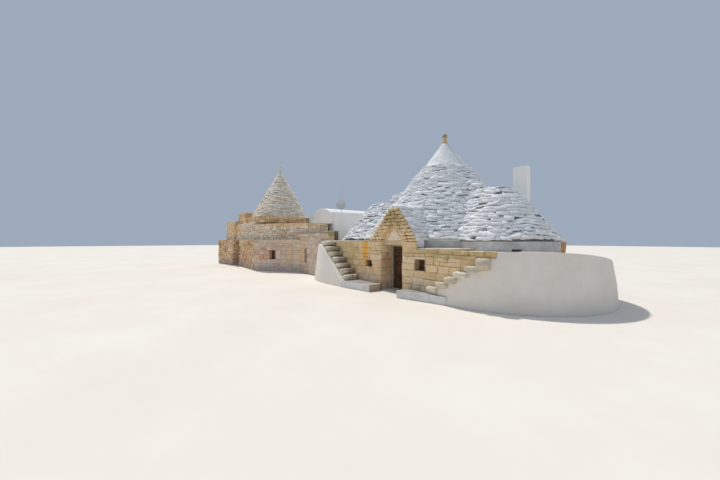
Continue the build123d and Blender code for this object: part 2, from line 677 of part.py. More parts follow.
def west_walls():
    """The walls and roof round the west room; its front stops short of the small drum."""
    x_west = WEST_FRONT_LEFT[0]
    x_inner = x_west + WEST_WALL
    inner = [(p[0], p[1] + WEST_WALL) for p in (WEST_FRONT_LEFT, WEST_FRONT_RIGHT)]
    corner = at_x(*inner, x_inner)
    front = area(WEST_FRONT_LEFT, WEST_FRONT_RIGHT, inner[1], inner[0])
    parts["west_front_wall"] = rise(front, 0, TERRACE_TOP)
    side = area(inner[0], corner, (x_inner, WING_REAR_Y), (x_west, WING_REAR_Y))
    rear_inner = WING_REAR_Y - REAR_WALL
    rear = oblong(x_inner, MIDDLE_LEFT[0], rear_inner, WING_REAR_Y)
    parts["west_rear_walls"] = rise(side + rear, 0, TERRACE_TOP)
    return area(
        corner,
        inner[1],
        (MIDDLE_LEFT[0], inner[1][1]),
        (MIDDLE_LEFT[0], rear_inner),
        (x_inner, rear_inner),
    )


def small_drum():
    """The round wall of the small room, in two halves, with a passage to each side."""
    cy = SMALL_CENTRE[1]
    start = at_x(WING_CORNER, WING_BEND, DRUM_EAST)
    rear = ((DRUM_EAST, WING_REAR_Y), (MIDDLE_LEFT[0], WING_REAR_Y))
    mass = area(MIDDLE_LEFT, WING_CORNER, start, *rear) - disc(SMALL_CENTRE, SMALL_ROOM_RADIUS)
    half = PASSAGE_WIDTH / 2
    way = slab(-FAR, 0, cy - half, cy + half, 0, PASSAGE_HEIGHT)
    parts["small_drum_front"] = rise(mass & oblong(-FAR, 0, -FAR, cy), 0, TERRACE_TOP) - way
    parts["small_drum_rear"] = rise(mass & oblong(-FAR, 0, cy, FAR), 0, TERRACE_TOP) - way
    passage = oblong(MIDDLE_LEFT[0], DRUM_EAST, cy - half, cy + half)
    return disc(SMALL_CENTRE, SMALL_ROOM_RADIUS) + passage


def link_walls():
    """The front of the link room: a slanted stretch and a straight one, each with a window."""
    start = at_x(WING_CORNER, WING_BEND, DRUM_EAST)
    line = [along(WING_CORNER, WING_BEND, d, LINK_WALL) for d in (0, LINK_WALL)]
    inner_start = at_x(*line, DRUM_EAST)
    inner_bend = at_y(*line, LINK_ROOM_FRONT)
    wall = area(
        start,
        WING_BEND,
        (LINK_ROOM_EAST, WING_BEND[1]),
        (LINK_ROOM_EAST, LINK_ROOM_FRONT),
        inner_bend,
        inner_start,
    )
    slit = window_cut(SLIT_WINDOW) & slab(-FAR, 0, -FAR, LINK_ROOM_FRONT, 0, FAR)
    hole = slanted_window(SLANTED_WINDOW[2], -LINK_WALL, 2 * LINK_WALL, 0)
    parts["link_walls"] = rise(wall, 0, TERRACE_TOP) - hole - slit
    return area(
        inner_start,
        inner_bend,
        (LINK_ROOM_EAST, LINK_ROOM_FRONT),
        (LINK_ROOM_EAST, BLOCK_FRONT),
        (DRUM_EAST, BLOCK_FRONT),
    )


def slanted_window(width, depth_low, depth_high, margin):
    """A block set in the slanted wall's window, its depth measured inwards from the face."""
    distance, sill, _, height = SLANTED_WINDOW
    ends = [distance - width / 2, distance + width / 2]
    outer = [along(WING_CORNER, WING_BEND, d, depth_low) for d in ends]
    inner = [along(WING_CORNER, WING_BEND, d, depth_high) for d in reversed(ends)]
    return rise(area(*outer, *inner), sill + margin, sill + height - margin)


def windows():
    frames = []
    panes = []
    glass = (WINDOW_FRAME_DEPTH - GLASS_THICKNESS) / 2
    places = ((RIGHT_WINDOW, FRONT_Y), (LEFT_WINDOW, FRONT_Y), (SLIT_WINDOW, WING_BEND[1]))
    for place, face in places:
        centre, sill, width, height = place
        left, right, front = centre - width / 2, centre + width / 2, face + WINDOW_SETBACK
        top = sill + height
        sides = (left + WINDOW_FRAME, right - WINDOW_FRAME)
        clear = (sill + WINDOW_FRAME, top - WINDOW_FRAME)
        frame = slab(left, right, front, front + WINDOW_FRAME_DEPTH, sill, top)
        frames.append(frame - slab(*sides, -FAR, FAR, *clear))
        panes.append(slab(*sides, front + glass, front + glass + GLASS_THICKNESS, *clear))
    width = SLANTED_WINDOW[2]
    clear_width = width - 2 * WINDOW_FRAME
    back = WINDOW_SETBACK + WINDOW_FRAME_DEPTH
    hole = slanted_window(clear_width, 0, LINK_WALL, WINDOW_FRAME)
    frames.append(slanted_window(width, WINDOW_SETBACK, back, 0) - hole)
    pane = (WINDOW_SETBACK + glass, WINDOW_SETBACK + glass + GLASS_THICKNESS)
    panes.append(slanted_window(clear_width, *pane, WINDOW_FRAME))
    parts["window_frames"] = Compound(frames)
    parts["window_glass"] = Compound(panes)


def roofs_and_floors(west_room, small_room, link_room):
    low = TERRACE_TOP - SLAB_THICKNESS
    roofs_over = [rise(west_room, low, TERRACE_TOP), rise(link_room, low, TERRACE_TOP)]
    parts["wing_roofs"] = Compound(roofs_over)
    rear = BLOCK_REAR - BLOCK_WALL
    front = BLOCK_FRONT + BLOCK_WALL
    block_room = oblong(BLOCK_INSIDE_LEFT, BLOCK_INSIDE_RIGHT, front, rear)
    half = BLOCK_DOOR_WIDTH / 2
    block_way = oblong(BLOCK_MIDDLE - half, BLOCK_MIDDLE + half, BLOCK_FRONT, front)
    wing = west_room + small_room + link_room + block_way + block_room
    entrance = oblong(DOOR_LEFT, DOOR_RIGHT, FRONT_Y, INSIDE_Y)
    main = rise(ROOMS + entrance, 0, FLOOR_THICKNESS)
    parts["floors"] = Compound([main, rise(wing, 0, FLOOR_THICKNESS)])


def tiers():
    """The rubble tiers that step up round the small cone."""
    cx, cy = SMALL_CENTRE
    hole = disc(SMALL_CENTRE, SMALL_ROOM_RADIUS)
    front_left = (TIER_WEST_X, MIDDLE_LEFT[1])
    front_right = (WING_CORNER[0], WING_CORNER[1] + TIER_TWO_SET)
    rear = ((DRUM_EAST, TIER_REAR_Y), (TIER_WEST_X, TIER_REAR_Y))
    plan = area(front_left, front_right, (DRUM_EAST, cy), *rear) - hole
    west_end = at_x(WEST_FRONT_LEFT, WEST_FRONT_RIGHT, TIER_TWO_WEST_X)
    west = area(
        (west_end[0], west_end[1] + TIER_TWO_SET),
        (TIER_WEST_X, WEST_FRONT_RIGHT[1] + TIER_TWO_SET),
        (TIER_WEST_X, MIDDLE_LEFT[1] + REAR_WALL),
        (west_end[0], MIDDLE_LEFT[1] + REAR_WALL),
    )
    front = rise(plan & oblong(-FAR, 0, -FAR, cy), TERRACE_TOP, TIER_TWO_TOP)
    parts["tier_two_front"] = front + rise(west, TERRACE_TOP, TIER_TWO_WEST_TOP)
    parts["tier_two_rear"] = rise(plan & oblong(-FAR, 0, cy, FAR), TERRACE_TOP, TIER_TWO_TOP)
    end_x, end_y = TIER_TWO_EAST
    east = area(
        front_right,
        TIER_TWO_EAST,
        (end_x, end_y + TIER_EAST_END),
        (end_x - REAR_WALL, BLOCK_FRONT),
        (DRUM_EAST, BLOCK_FRONT),
        (DRUM_EAST, cy),
    )
    parts["tier_two_east"] = rise(east, TERRACE_TOP, TIER_TWO_TOP - TIER_EAST_DROP)
    front_y, rear_y = MIDDLE_LEFT[1] + TIER_THREE_SET, TIER_REAR_Y - TIER_THREE_SET
    plan = oblong(TIER_WEST_X, DRUM_EAST, front_y, rear_y) - hole
    west = plan & oblong(-FAR, TIER_THREE_SPLIT_X, -FAR, FAR)
    west -= disc(SMALL_CENTRE, SMALL_EAVE_RADIUS)
    high = rise(west, SMALL_EAVE, TIER_THREE_WEST_TOP)
    parts["tier_three"] = rise(plan, TIER_TWO_TOP, SMALL_EAVE) + high


def small_cone():
    shell = [
        (SMALL_ROOM_RADIUS, SMALL_EAVE),
        (SMALL_EAVE_RADIUS, SMALL_EAVE),
        SMALL_CONE_TIP,
        (0, SMALL_CONE_TIP[1]),
        (0, SMALL_DOME_TOP[1]),
        SMALL_DOME_TOP,
    ]
    parts["small_cone"] = turned(shell, SMALL_CENTRE)
    top = finial(*SMALL_CONE_TIP, SMALL_FINIAL_HEIGHT, SMALL_FINIAL_BALL)
    parts["small_finial"] = Pos(*SMALL_CENTRE) * top


def vault_solid(spring, crown, low, y_low, y_high):
    """The space under an arc between the block's side walls, down to a level foot."""
    left, right = BLOCK_INSIDE_LEFT, BLOCK_INSIDE_RIGHT
    arc = ThreePointArc((left, spring), (BLOCK_MIDDLE, crown), (right, spring))
    foot = Polyline((right, spring), (right, low), (left, low), (left, spring))
    face = make_face(Plane.XZ.offset(-y_low) * Curve([*arc.edges(), *foot.edges()]))
    return extrude(face, y_high - y_low, dir=(0, 1, 0))


def white_block():
    """Two side walls, a barrel vault between them and a wall closing each end."""
    ends = (BLOCK_FRONT, BLOCK_REAR)
    outer_spring = VAULT_SPRING + VAULT_THICKNESS
    inner_crown = VAULT_CROWN - VAULT_THICKNESS
    vault = vault_solid(outer_spring, VAULT_CROWN, VAULT_SPRING, *ends)
    below = vault_solid(VAULT_SPRING, inner_crown, 0, *ends)
    parts["block_vault"] = vault - below
    half = BLOCK_DOOR_WIDTH / 2
    way = slab(BLOCK_MIDDLE - half, BLOCK_MIDDLE + half, -FAR, 0, 0, PASSAGE_HEIGHT)
    front = below & slab(-FAR, 0, BLOCK_FRONT, BLOCK_FRONT + BLOCK_WALL, 0, FAR)
    rear = below & slab(-FAR, 0, BLOCK_REAR - BLOCK_WALL, BLOCK_REAR, 0, FAR)
    parts["block_front_wall"] = front - way
    parts["block_rear_wall"] = rear
    left = slab(BLOCK_LEFT, BLOCK_INSIDE_LEFT, *ends, 0, BLOCK_WALL_TOP)
    right = slab(BLOCK_INSIDE_RIGHT, BLOCK_RIGHT, *ends, 0, BLOCK_WALL_TOP)
    parts["block_side_walls"] = Compound([left, right])
    shoulder = slab(SHOULDER_LEFT, BLOCK_LEFT, TIER_REAR_Y, WING_REAR_Y, TERRACE_TOP, SHOULDER_TOP)
    parts["block_shoulder"] = shoulder


def parapets():
    """A low parapet over the link wall and a higher one that runs on behind it to the left lobe."""
    start = along(WING_CORNER, WING_BEND, LOW_PARAPET_START)
    inner_y = WING_BEND[1] + PARAPET_THICKNESS
    low = area(
        start,
        WING_BEND,
        (LINK_ROOM_EAST, WING_BEND[1]),
        (LINK_ROOM_EAST, inner_y),
        (WING_BEND[0], inner_y),
    )
    x, y = TIER_TWO_EAST
    back = y + PARAPET_THICKNESS
    lobe_edge = LEFT_CENTRE[0] - LEFT_EAVE_RADIUS
    high = slab(x, LINK_ROOM_EAST, y, back, TERRACE_TOP, HIGH_PARAPET_TOP)
    high += slab(LINK_ROOM_EAST, lobe_edge, y, back, EAVE_LEVEL, HIGH_PARAPET_TOP)
    parts["parapets"] = Compound([rise(low, TERRACE_TOP, LOW_PARAPET_TOP), high])


def aerial():
    """A mast on the block's right wall, with a crossbar and a dish facing the front."""
    x = BLOCK_RIGHT - BLOCK_WALL / 4
    mast_middle = (BLOCK_WALL_TOP + MAST_TOP) / 2
    mast = Pos(x, MAST_Y, mast_middle) * Cylinder(MAST_RADIUS, MAST_TOP - BLOCK_WALL_TOP)
    bar = Rot(0, 90, 0) * Cylinder(CROSSBAR_RADIUS, CROSSBAR_LENGTH)
    bar = Pos(x + CROSSBAR_LENGTH / 2, MAST_Y, MAST_TOP - 2 * CROSSBAR_RADIUS) * bar
    arm = Rot(90, 0, 0) * Cylinder(CROSSBAR_RADIUS, DISH_REACH + DISH_THICKNESS)
    arm = Pos(x, MAST_Y - (DISH_REACH + DISH_THICKNESS) / 2, DISH_HEIGHT) * arm
    bowl_section = [
        (0, 0),
        (DISH_RADIUS, DISH_DEPTH),
        (DISH_RADIUS, DISH_DEPTH + DISH_THICKNESS),
        (0, DISH_THICKNESS),
    ]
    bowl = Rot(90, 0, 0) * turned(bowl_section, (0, 0))
    bowl = Pos(x, MAST_Y - DISH_REACH, DISH_HEIGHT) * bowl
    parts["aerial"] = mast + bar + arm + bowl


front_walls()
right_ledge()
rear_walls()
left_ledge()
plinth_drum()
roofs()
gable()
door()
parts["stepped_stones"] = Compound([*right_white_wall(), *left_white_wall()])
benches()
roof_pieces()
roofs_and_floors(west_walls(), small_drum(), link_walls())
windows()
tiers()
small_cone()
white_block()
parapets()
aerial()

os.makedirs("parts", exist_ok=True)
for name, part in parts.items():
    export_step(part, f"parts/{name}.step")
    print(name, len(part.solids()), round(part.volume / 1e9, 3))
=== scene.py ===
import math
import random

import bmesh
import bpy
from mathutils import Matrix, Vector, noise


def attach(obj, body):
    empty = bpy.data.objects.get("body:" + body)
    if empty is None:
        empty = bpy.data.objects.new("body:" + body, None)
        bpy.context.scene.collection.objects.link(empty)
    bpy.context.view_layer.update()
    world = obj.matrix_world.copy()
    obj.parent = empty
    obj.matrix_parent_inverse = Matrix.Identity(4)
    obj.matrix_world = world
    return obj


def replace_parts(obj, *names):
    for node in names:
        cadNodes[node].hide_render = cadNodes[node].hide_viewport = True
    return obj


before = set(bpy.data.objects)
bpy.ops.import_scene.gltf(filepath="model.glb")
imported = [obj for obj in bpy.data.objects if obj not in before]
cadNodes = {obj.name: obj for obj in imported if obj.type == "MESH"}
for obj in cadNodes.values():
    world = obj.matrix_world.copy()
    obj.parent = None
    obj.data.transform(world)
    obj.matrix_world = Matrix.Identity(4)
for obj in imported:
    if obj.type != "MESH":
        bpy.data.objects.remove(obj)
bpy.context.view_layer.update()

# Without a seed of its own, the noise that sways the stones would differ from run to run
noise.seed_set(5)


# Small helpers for shader nodes
def plug(tree, socket, value):
    if isinstance(value, bpy.types.NodeSocket):
        tree.links.new(value, socket)
    else:
        socket.default_value = value


def addNode(tree, kind, settings=(), **inputs):
    node = tree.nodes.new("ShaderNode" + kind)
    for key, value in dict(settings).items():
        setattr(node, key, value)
    for label, value in inputs.items():
        plug(tree, node.inputs[label.replace("_", " ")], value)
    return node


def maths(tree, operation, *values, kind="Math"):
    node = addNode(tree, kind, {"operation": operation})
    for socket, value in zip(node.inputs, values):
        plug(tree, socket, value)
    return node.outputs[0]


def noiseAt(tree, place, **inputs):
    return addNode(tree, "TexNoise", Vector=place, **inputs).outputs["Fac"]


def mapped(tree, value, low, high, first=0, last=1):
    node = addNode(tree, "MapRange", Value=value, From_Min=low, From_Max=high, To_Min=first, To_Max=last)
    return node.outputs[0]


def mixColour(tree, factor, low, high):
    node = tree.nodes.new("ShaderNodeMix")
    node.data_type = "RGBA"
    for socket, value in zip((node.inputs[0], node.inputs[6], node.inputs[7]), (factor, low, high)):
        plug(tree, socket, value)
    return node.outputs[2]


def newGroup(name, output, **inputs):
    # Every group reads a place first
    group = bpy.data.node_groups.new(name, "ShaderNodeTree")
    for label, kind in {"Vector": "Vector", **inputs}.items():
        group.interface.new_socket(label, in_out="INPUT", socket_type="NodeSocket" + kind)
    group.interface.new_socket(output, in_out="OUTPUT", socket_type="NodeSocket" + output)
    return group, group.nodes.new("NodeGroupInput").outputs, group.nodes.new("NodeGroupOutput").inputs[0]


def useGroup(tree, group, **inputs):
    node = tree.nodes.new("ShaderNodeGroup")
    node.node_tree = group
    for label, value in inputs.items():
        plug(tree, node.inputs[label], value)
    return node.outputs[0]


# Values between which each group's noise fades in, and the shares of its finer parts
fades = {"mottle": (0.33, 0.67), "growth": (0.5, 0.66), "grime": -0.55, "patch": (2.2, 2.9), "ragged": 3.6,
         "fineGrain": 0.35, "shade": 0.4, "bloom": 0.3}

# Two colours in soft clouds
mottleGroup, given, result = newGroup("mottle", "Color", Scale="Float", Dark="Color", Light="Color")
clouds = noiseAt(mottleGroup, given["Vector"], Scale=given["Scale"], Detail=6, Roughness=0.6)
clouds = mapped(mottleGroup, clouds, *fades["mottle"])
mottleGroup.links.new(mixColour(mottleGroup, clouds, given["Dark"], given["Light"]), result)

# Patches of a growth or stain, thicker above a height
growthGroup, given, result = newGroup("growth", "Color", Base="Color", Growth="Color", Scale="Float",
                                      Cover="Float", Low="Float", High="Float")
spots = noiseAt(growthGroup, given["Vector"], Scale=given["Scale"], Detail=8, Roughness=0.7)
spots = mapped(growthGroup, spots, *fades["growth"])
upright = addNode(growthGroup, "SeparateXYZ", Vector=given["Vector"]).outputs["Z"]
rising = mapped(growthGroup, upright, given["Low"], given["High"])
covered = maths(growthGroup, "MULTIPLY", maths(growthGroup, "MULTIPLY", spots, rising), given["Cover"])
growthGroup.links.new(mixColour(growthGroup, covered, given["Base"], given["Growth"]), result)

# Damp and dust that fade upwards from the ground
grimeGroup, given, result = newGroup("grime", "Color", Base="Color", Dirt="Color", Reach="Float",
                                     Amount="Float")
upright = addNode(grimeGroup, "SeparateXYZ", Vector=given["Vector"]).outputs["Z"]
uneven = maths(grimeGroup, "SUBTRACT", upright, noiseAt(grimeGroup, given["Vector"], Scale=2.2, Detail=4))
fade = mapped(grimeGroup, uneven, fades["grime"], given["Reach"], 1, 0)
fade = maths(grimeGroup, "MULTIPLY", fade, given["Amount"])
grimeGroup.links.new(mixColour(grimeGroup, fade, given["Base"], given["Dirt"]), result)

# One ragged patch of colour round a place, such as a run of rust, a tuft of lichen and the painted shade on
# the steps by the wall
patchGroup, given, result = newGroup("patch", "Color", Base="Color", Growth="Color", Middle="Vector",
                                     Reach="Vector", Cover="Float")
offset = maths(patchGroup, "SUBTRACT", given["Vector"], given["Middle"], kind="VectorMath")
offset = maths(patchGroup, "DIVIDE", offset, given["Reach"], kind="VectorMath")
offset = maths(patchGroup, "ABSOLUTE", offset, kind="VectorMath")
sides = addNode(patchGroup, "SeparateXYZ", Vector=offset).outputs
farthest = maths(patchGroup, "MAXIMUM", maths(patchGroup, "MAXIMUM", sides["X"], sides["Y"]), sides["Z"])
ragged = noiseAt(patchGroup, given["Vector"], Scale=4.5, Detail=7, Roughness=0.75)
farthest = maths(patchGroup, "ADD", farthest, maths(patchGroup, "MULTIPLY", ragged, fades["ragged"]))
fade = maths(patchGroup, "MULTIPLY", mapped(patchGroup, farthest, *fades["patch"], 1, 0), given["Cover"])
patchGroup.links.new(mixColour(patchGroup, fade, given["Base"], given["Growth"]), result)

# Lumps and fine grain as a bump
grainGroup, given, result = newGroup("grain", "Vector", Lumps="Float", Fine="Float", Height="Float")
lumps = noiseAt(grainGroup, given["Vector"], Scale=given["Lumps"], Detail=3)
fine = noiseAt(grainGroup, given["Vector"], Scale=given["Fine"], Detail=5)
relief = maths(grainGroup, "ADD", lumps, maths(grainGroup, "MULTIPLY", fine, fades["fineGrain"]))
bump = addNode(grainGroup, "Bump", Height=relief, Distance=given["Height"], Strength=0.9)
grainGroup.links.new(bump.outputs["Normal"], result)


def rgb(colour):
    return (*colour, 1)


def newMaterial(name, roughness, metallic=0.0):
    material = bpy.data.materials.new(name)
    material.use_nodes = True
    tree = material.node_tree
    tree.nodes.clear()
    shader = addNode(tree, "BsdfPrincipled", Roughness=roughness, Metallic=metallic)
    output = addNode(tree, "OutputMaterial")
    tree.links.new(shader.outputs[0], output.inputs["Surface"])
    return material, tree, shader, addNode(tree, "TexCoord").outputs["Object"]


def ramp(tree, factor, stops):
    node = addNode(tree, "ValToRGB", Fac=factor)
    while len(node.color_ramp.elements) < len(stops):
        node.color_ramp.elements.new(0.5)
    for element, (position, colour) in zip(node.color_ramp.elements, stops):
        element.position = position
        element.color = rgb(colour)
    return node.outputs["Color"]


def grow(tree, place, colour, growth, scale, cover, low=-1, high=-0.5):
    return useGroup(tree, growthGroup, Vector=place, Base=colour, Growth=rgb(growth), Scale=scale,
                    Cover=cover, Low=low, High=high)


def finishMaterial(tree, shader, place, colour, look):
    for middle, reach, growth, cover in look.get("patches", ()):
        colour = useGroup(tree, patchGroup, Vector=place, Base=colour, Growth=rgb(growth), Middle=middle,
                          Reach=reach, Cover=cover)
    if "dirt" in look:
        dirt, reach, amount = look["dirt"]
        colour = useGroup(tree, grimeGroup, Vector=place, Base=colour, Dirt=rgb(dirt), Reach=reach,
                          Amount=amount)
    tree.links.new(colour, shader.inputs["Base Color"])
    lumps, fine, height = look["grain"]
    normal = useGroup(tree, grainGroup, Vector=place, Lumps=lumps, Fine=fine, Height=height)
    tree.links.new(normal, shader.inputs["Normal"])


def stoneMaterial(name, look):
    # Each stone has its own tone, kept as a value on its points
    material, tree, shader, place = newMaterial(name, look["roughness"])
    tone = addNode(tree, "Attribute", {"attribute_name": "tone"}).outputs["Fac"]
    colour = ramp(tree, tone, look["tones"])
    dark = mixColour(tree, look.get("shadeShare", fades["shade"]), colour, rgb(look["shade"]))
    pale = mixColour(tree, fades["bloom"], colour, rgb(look["bloom"]))
    colour = useGroup(tree, mottleGroup, Vector=place, Scale=look["mottle"], Dark=dark, Light=pale)
    finishMaterial(tree, shader, place, grow(tree, place, colour, *look["growth"]), look)
    return material


def plainMaterial(name, look):
    # A coat or a joint filling: clouds of two colours, stains, grime and grain
    material, tree, shader, place = newMaterial(name, look["roughness"], look.get("metallic", 0.0))
    dark, light, scale = look["clouds"]
    colour = useGroup(tree, mottleGroup, Vector=place, Scale=scale, Dark=rgb(dark), Light=rgb(light))
    if "growth" in look:
        stretched = addNode(tree, "Mapping", Vector=place, Scale=look.get("stretch", (1, 1, 1))).outputs[0]
        colour = grow(tree, stretched, colour, *look["growth"])
    finishMaterial(tree, shader, place, colour, look)
    return material


# Tones run from one stone to the next. A growth is its colour, scale and cover, and the heights where it
# starts and is full. A patch is its middle, reach, colour and cover. Dirt is its colour, reach and amount.
# Grain is the scales of lumps and fine grain, and their height. Clouds are two colours and their scale.
stoneLooks = {
    "ashlar": {
        "tones": ((0.0, (0.66, 0.43, 0.19)), (0.25, (0.9, 0.63, 0.32)), (0.5, (0.95, 0.72, 0.42)),
                  (0.75, (0.92, 0.6, 0.35)), (0.92, (0.95, 0.78, 0.52)), (1.0, (0.95, 0.82, 0.6))),
        "shade": (0.62, 0.44, 0.22), "bloom": (0.95, 0.82, 0.6), "shadeShare": 0.55, "mottle": 8,
        "growth": ((0.4, 0.32, 0.13), 6, 0.45, 0.9, 3.0),
        "patches": (((-1.06, -4.16, 1.66), (0.27, 0.3, 0.62), (0.94, 0.47, 0.06), 0.95),
                    ((-0.95, -4.05, 1.1), (0.4, 0.3, 0.3), (0.8, 0.44, 0.14), 0.6),
                    ((-2.1, -4.16, 1.45), (0.75, 0.3, 0.55), (0.6, 0.46, 0.18), 0.45),
                    ((3.0, -4.1, 1.66), (1.7, 0.9, 0.2), (0.4, 0.32, 0.12), 0.6),
                    ((0.7, -4.16, 3.05), (0.8, 0.3, 0.45), (0.36, 0.28, 0.12), 0.65),
                    ((0.0, -3.8, 1.15), (0.2, 0.4, 0.4), (0.5, 0.26, 0.16), 0.5)),
        "dirt": ((0.46, 0.36, 0.3), 0.45, 0.6), "grain": (12, 90, 0.02), "roughness": 0.92,
    },
    "rubble": {
        "tones": ((0.0, (0.46, 0.27, 0.13)), (0.2, (0.86, 0.56, 0.28)), (0.45, (0.92, 0.68, 0.42)),
                  (0.6, (0.8, 0.42, 0.21)), (0.8, (0.93, 0.75, 0.53)), (1.0, (0.94, 0.83, 0.68))),
        "shade": (0.5, 0.3, 0.15), "bloom": (0.93, 0.76, 0.51), "mottle": 4,
        "growth": ((0.8, 0.44, 0.1), 4, 0.5, 0.0, 3.0),
        "patches": (((-16.0, -5.9, 0.25), (5, 1.2, 0.3), (0.5, 0.42, 0.38), 0.5),
                    ((-13.6, -6.0, 0.75), (0.6, 0.5, 0.35), (0.62, 0.28, 0.17), 0.6),
                    ((5.4, -0.2, 1.85), (0.6, 0.9, 0.3), (0.76, 0.4, 0.18), 0.6)),
        "dirt": ((0.44, 0.36, 0.31), 0.3, 0.45), "grain": (10, 80, 0.03), "roughness": 0.95,
    },
    "wingStone": {
        "tones": ((0.0, (0.62, 0.46, 0.34)), (0.3, (0.72, 0.55, 0.42)), (0.6, (0.76, 0.6, 0.47)),
                  (0.93, (0.8, 0.66, 0.52)), (0.98, (0.76, 0.48, 0.34)), (1.0, (0.66, 0.34, 0.2))),
        "shade": (0.54, 0.39, 0.28), "bloom": (0.82, 0.71, 0.58), "mottle": 3,
        "growth": ((0.78, 0.54, 0.24), 2.5, 0.45, 1.2, 2.2),
        "patches": (((-8.9, -4.4, 1.3), (0.5, 0.4, 0.8), (0.74, 0.48, 0.2), 0.4),
                    ((-7.9, -4.03, 1.15), (0.4, 0.3, 0.95), (0.82, 0.54, 0.24), 0.85),
                    ((-10.9, -5.65, 0.95), (0.9, 0.6, 0.16), (0.74, 0.4, 0.26), 0.7),
                    ((-10.4, -5.4, 0.15), (2.6, 1.8, 0.3), (0.48, 0.42, 0.4), 0.6),
                    ((-6.4, -2.9, 2.55), (0.9, 0.4, 0.3), (0.5, 0.44, 0.13), 0.75)),
        "dirt": ((0.5, 0.42, 0.38), 0.35, 0.5), "grain": (9, 80, 0.02), "roughness": 0.94,
    },
    "greyRubble": {
        "tones": ((0.0, (0.54, 0.42, 0.29)), (0.3, (0.8, 0.68, 0.52)), (0.6, (0.88, 0.79, 0.66)),
                  (0.8, (0.88, 0.66, 0.42)), (1.0, (0.94, 0.88, 0.78))),
        "shade": (0.6, 0.47, 0.32), "bloom": (0.94, 0.87, 0.74), "mottle": 5,
        "growth": ((0.76, 0.52, 0.22), 3.5, 0.5, 2.6, 4.0),
        "patches": (((-16.9, -6.0, 3.0), (2.2, 0.8, 1.2), (0.92, 0.64, 0.35), 0.7),
                    ((-14.5, -5.95, 2.25), (3.4, 0.4, 0.22), (0.42, 0.4, 0.4), 0.6),
                    ((-9.2, -4.0, 2.4), (1.7, 1.5, 0.25), (0.66, 0.44, 0.28), 0.5),
                    ((-9.4, -4.3, 3.15), (2.3, 2.1, 0.16), (0.86, 0.54, 0.25), 0.8)),
        "grain": (10, 80, 0.03), "roughness": 0.95,
    },
    "whiteSlate": {
        "tones": ((0.0, (0.74, 0.75, 0.77)), (0.3, (0.83, 0.84, 0.85)), (0.8, (0.88, 0.88, 0.89)),
                  (1.0, (0.92, 0.92, 0.92))),
        "shade": (0.66, 0.67, 0.7), "bloom": (0.94, 0.94, 0.93), "mottle": 2.2,
        "growth": ((0.7, 0.69, 0.65), 2.5, 0.3, 1.0, 2.0), "grain": (8, 60, 0.02), "roughness": 0.85,
    },
    "bareSlate": {
        "tones": ((0.0, (0.66, 0.56, 0.44)), (0.35, (0.88, 0.79, 0.66)), (0.7, (0.94, 0.87, 0.75)),
                  (0.88, (0.92, 0.77, 0.61)), (1.0, (0.95, 0.92, 0.84))),
        "shade": (0.66, 0.56, 0.45), "bloom": (0.95, 0.92, 0.83), "mottle": 3,
        "growth": ((0.8, 0.79, 0.8), 2, 0.6, 5.6, 6.6), "grain": (9, 80, 0.02), "roughness": 0.93,
    },
    "stepStone": {
        "tones": ((0.0, (0.62, 0.52, 0.38)), (0.5, (0.84, 0.74, 0.57)), (1.0, (0.92, 0.85, 0.72))),
        "shade": (0.42, 0.34, 0.22), "bloom": (0.94, 0.89, 0.79), "mottle": 7,
        "growth": ((0.38, 0.33, 0.2), 6, 0.5, -0.5, 0.3),
        # This patch is painted shade, darkening the inner half of the steps where they meet the wall
        "patches": (((-2.6, -4.25, 1.2), (1.6, 0.45, 1.3), (0.3, 0.24, 0.16), 0.85),),
        "grain": (14, 90, 0.035), "roughness": 0.93,
    },
    "flagStone": {
        "tones": ((0.0, (0.58, 0.49, 0.37)), (0.5, (0.72, 0.64, 0.52)), (1.0, (0.82, 0.77, 0.67))),
        "shade": (0.48, 0.41, 0.3), "bloom": (0.86, 0.82, 0.74), "mottle": 3,
        "growth": ((0.46, 0.4, 0.18), 2.5, 0.5), "grain": (8, 70, 0.02), "roughness": 0.93,
    },
}
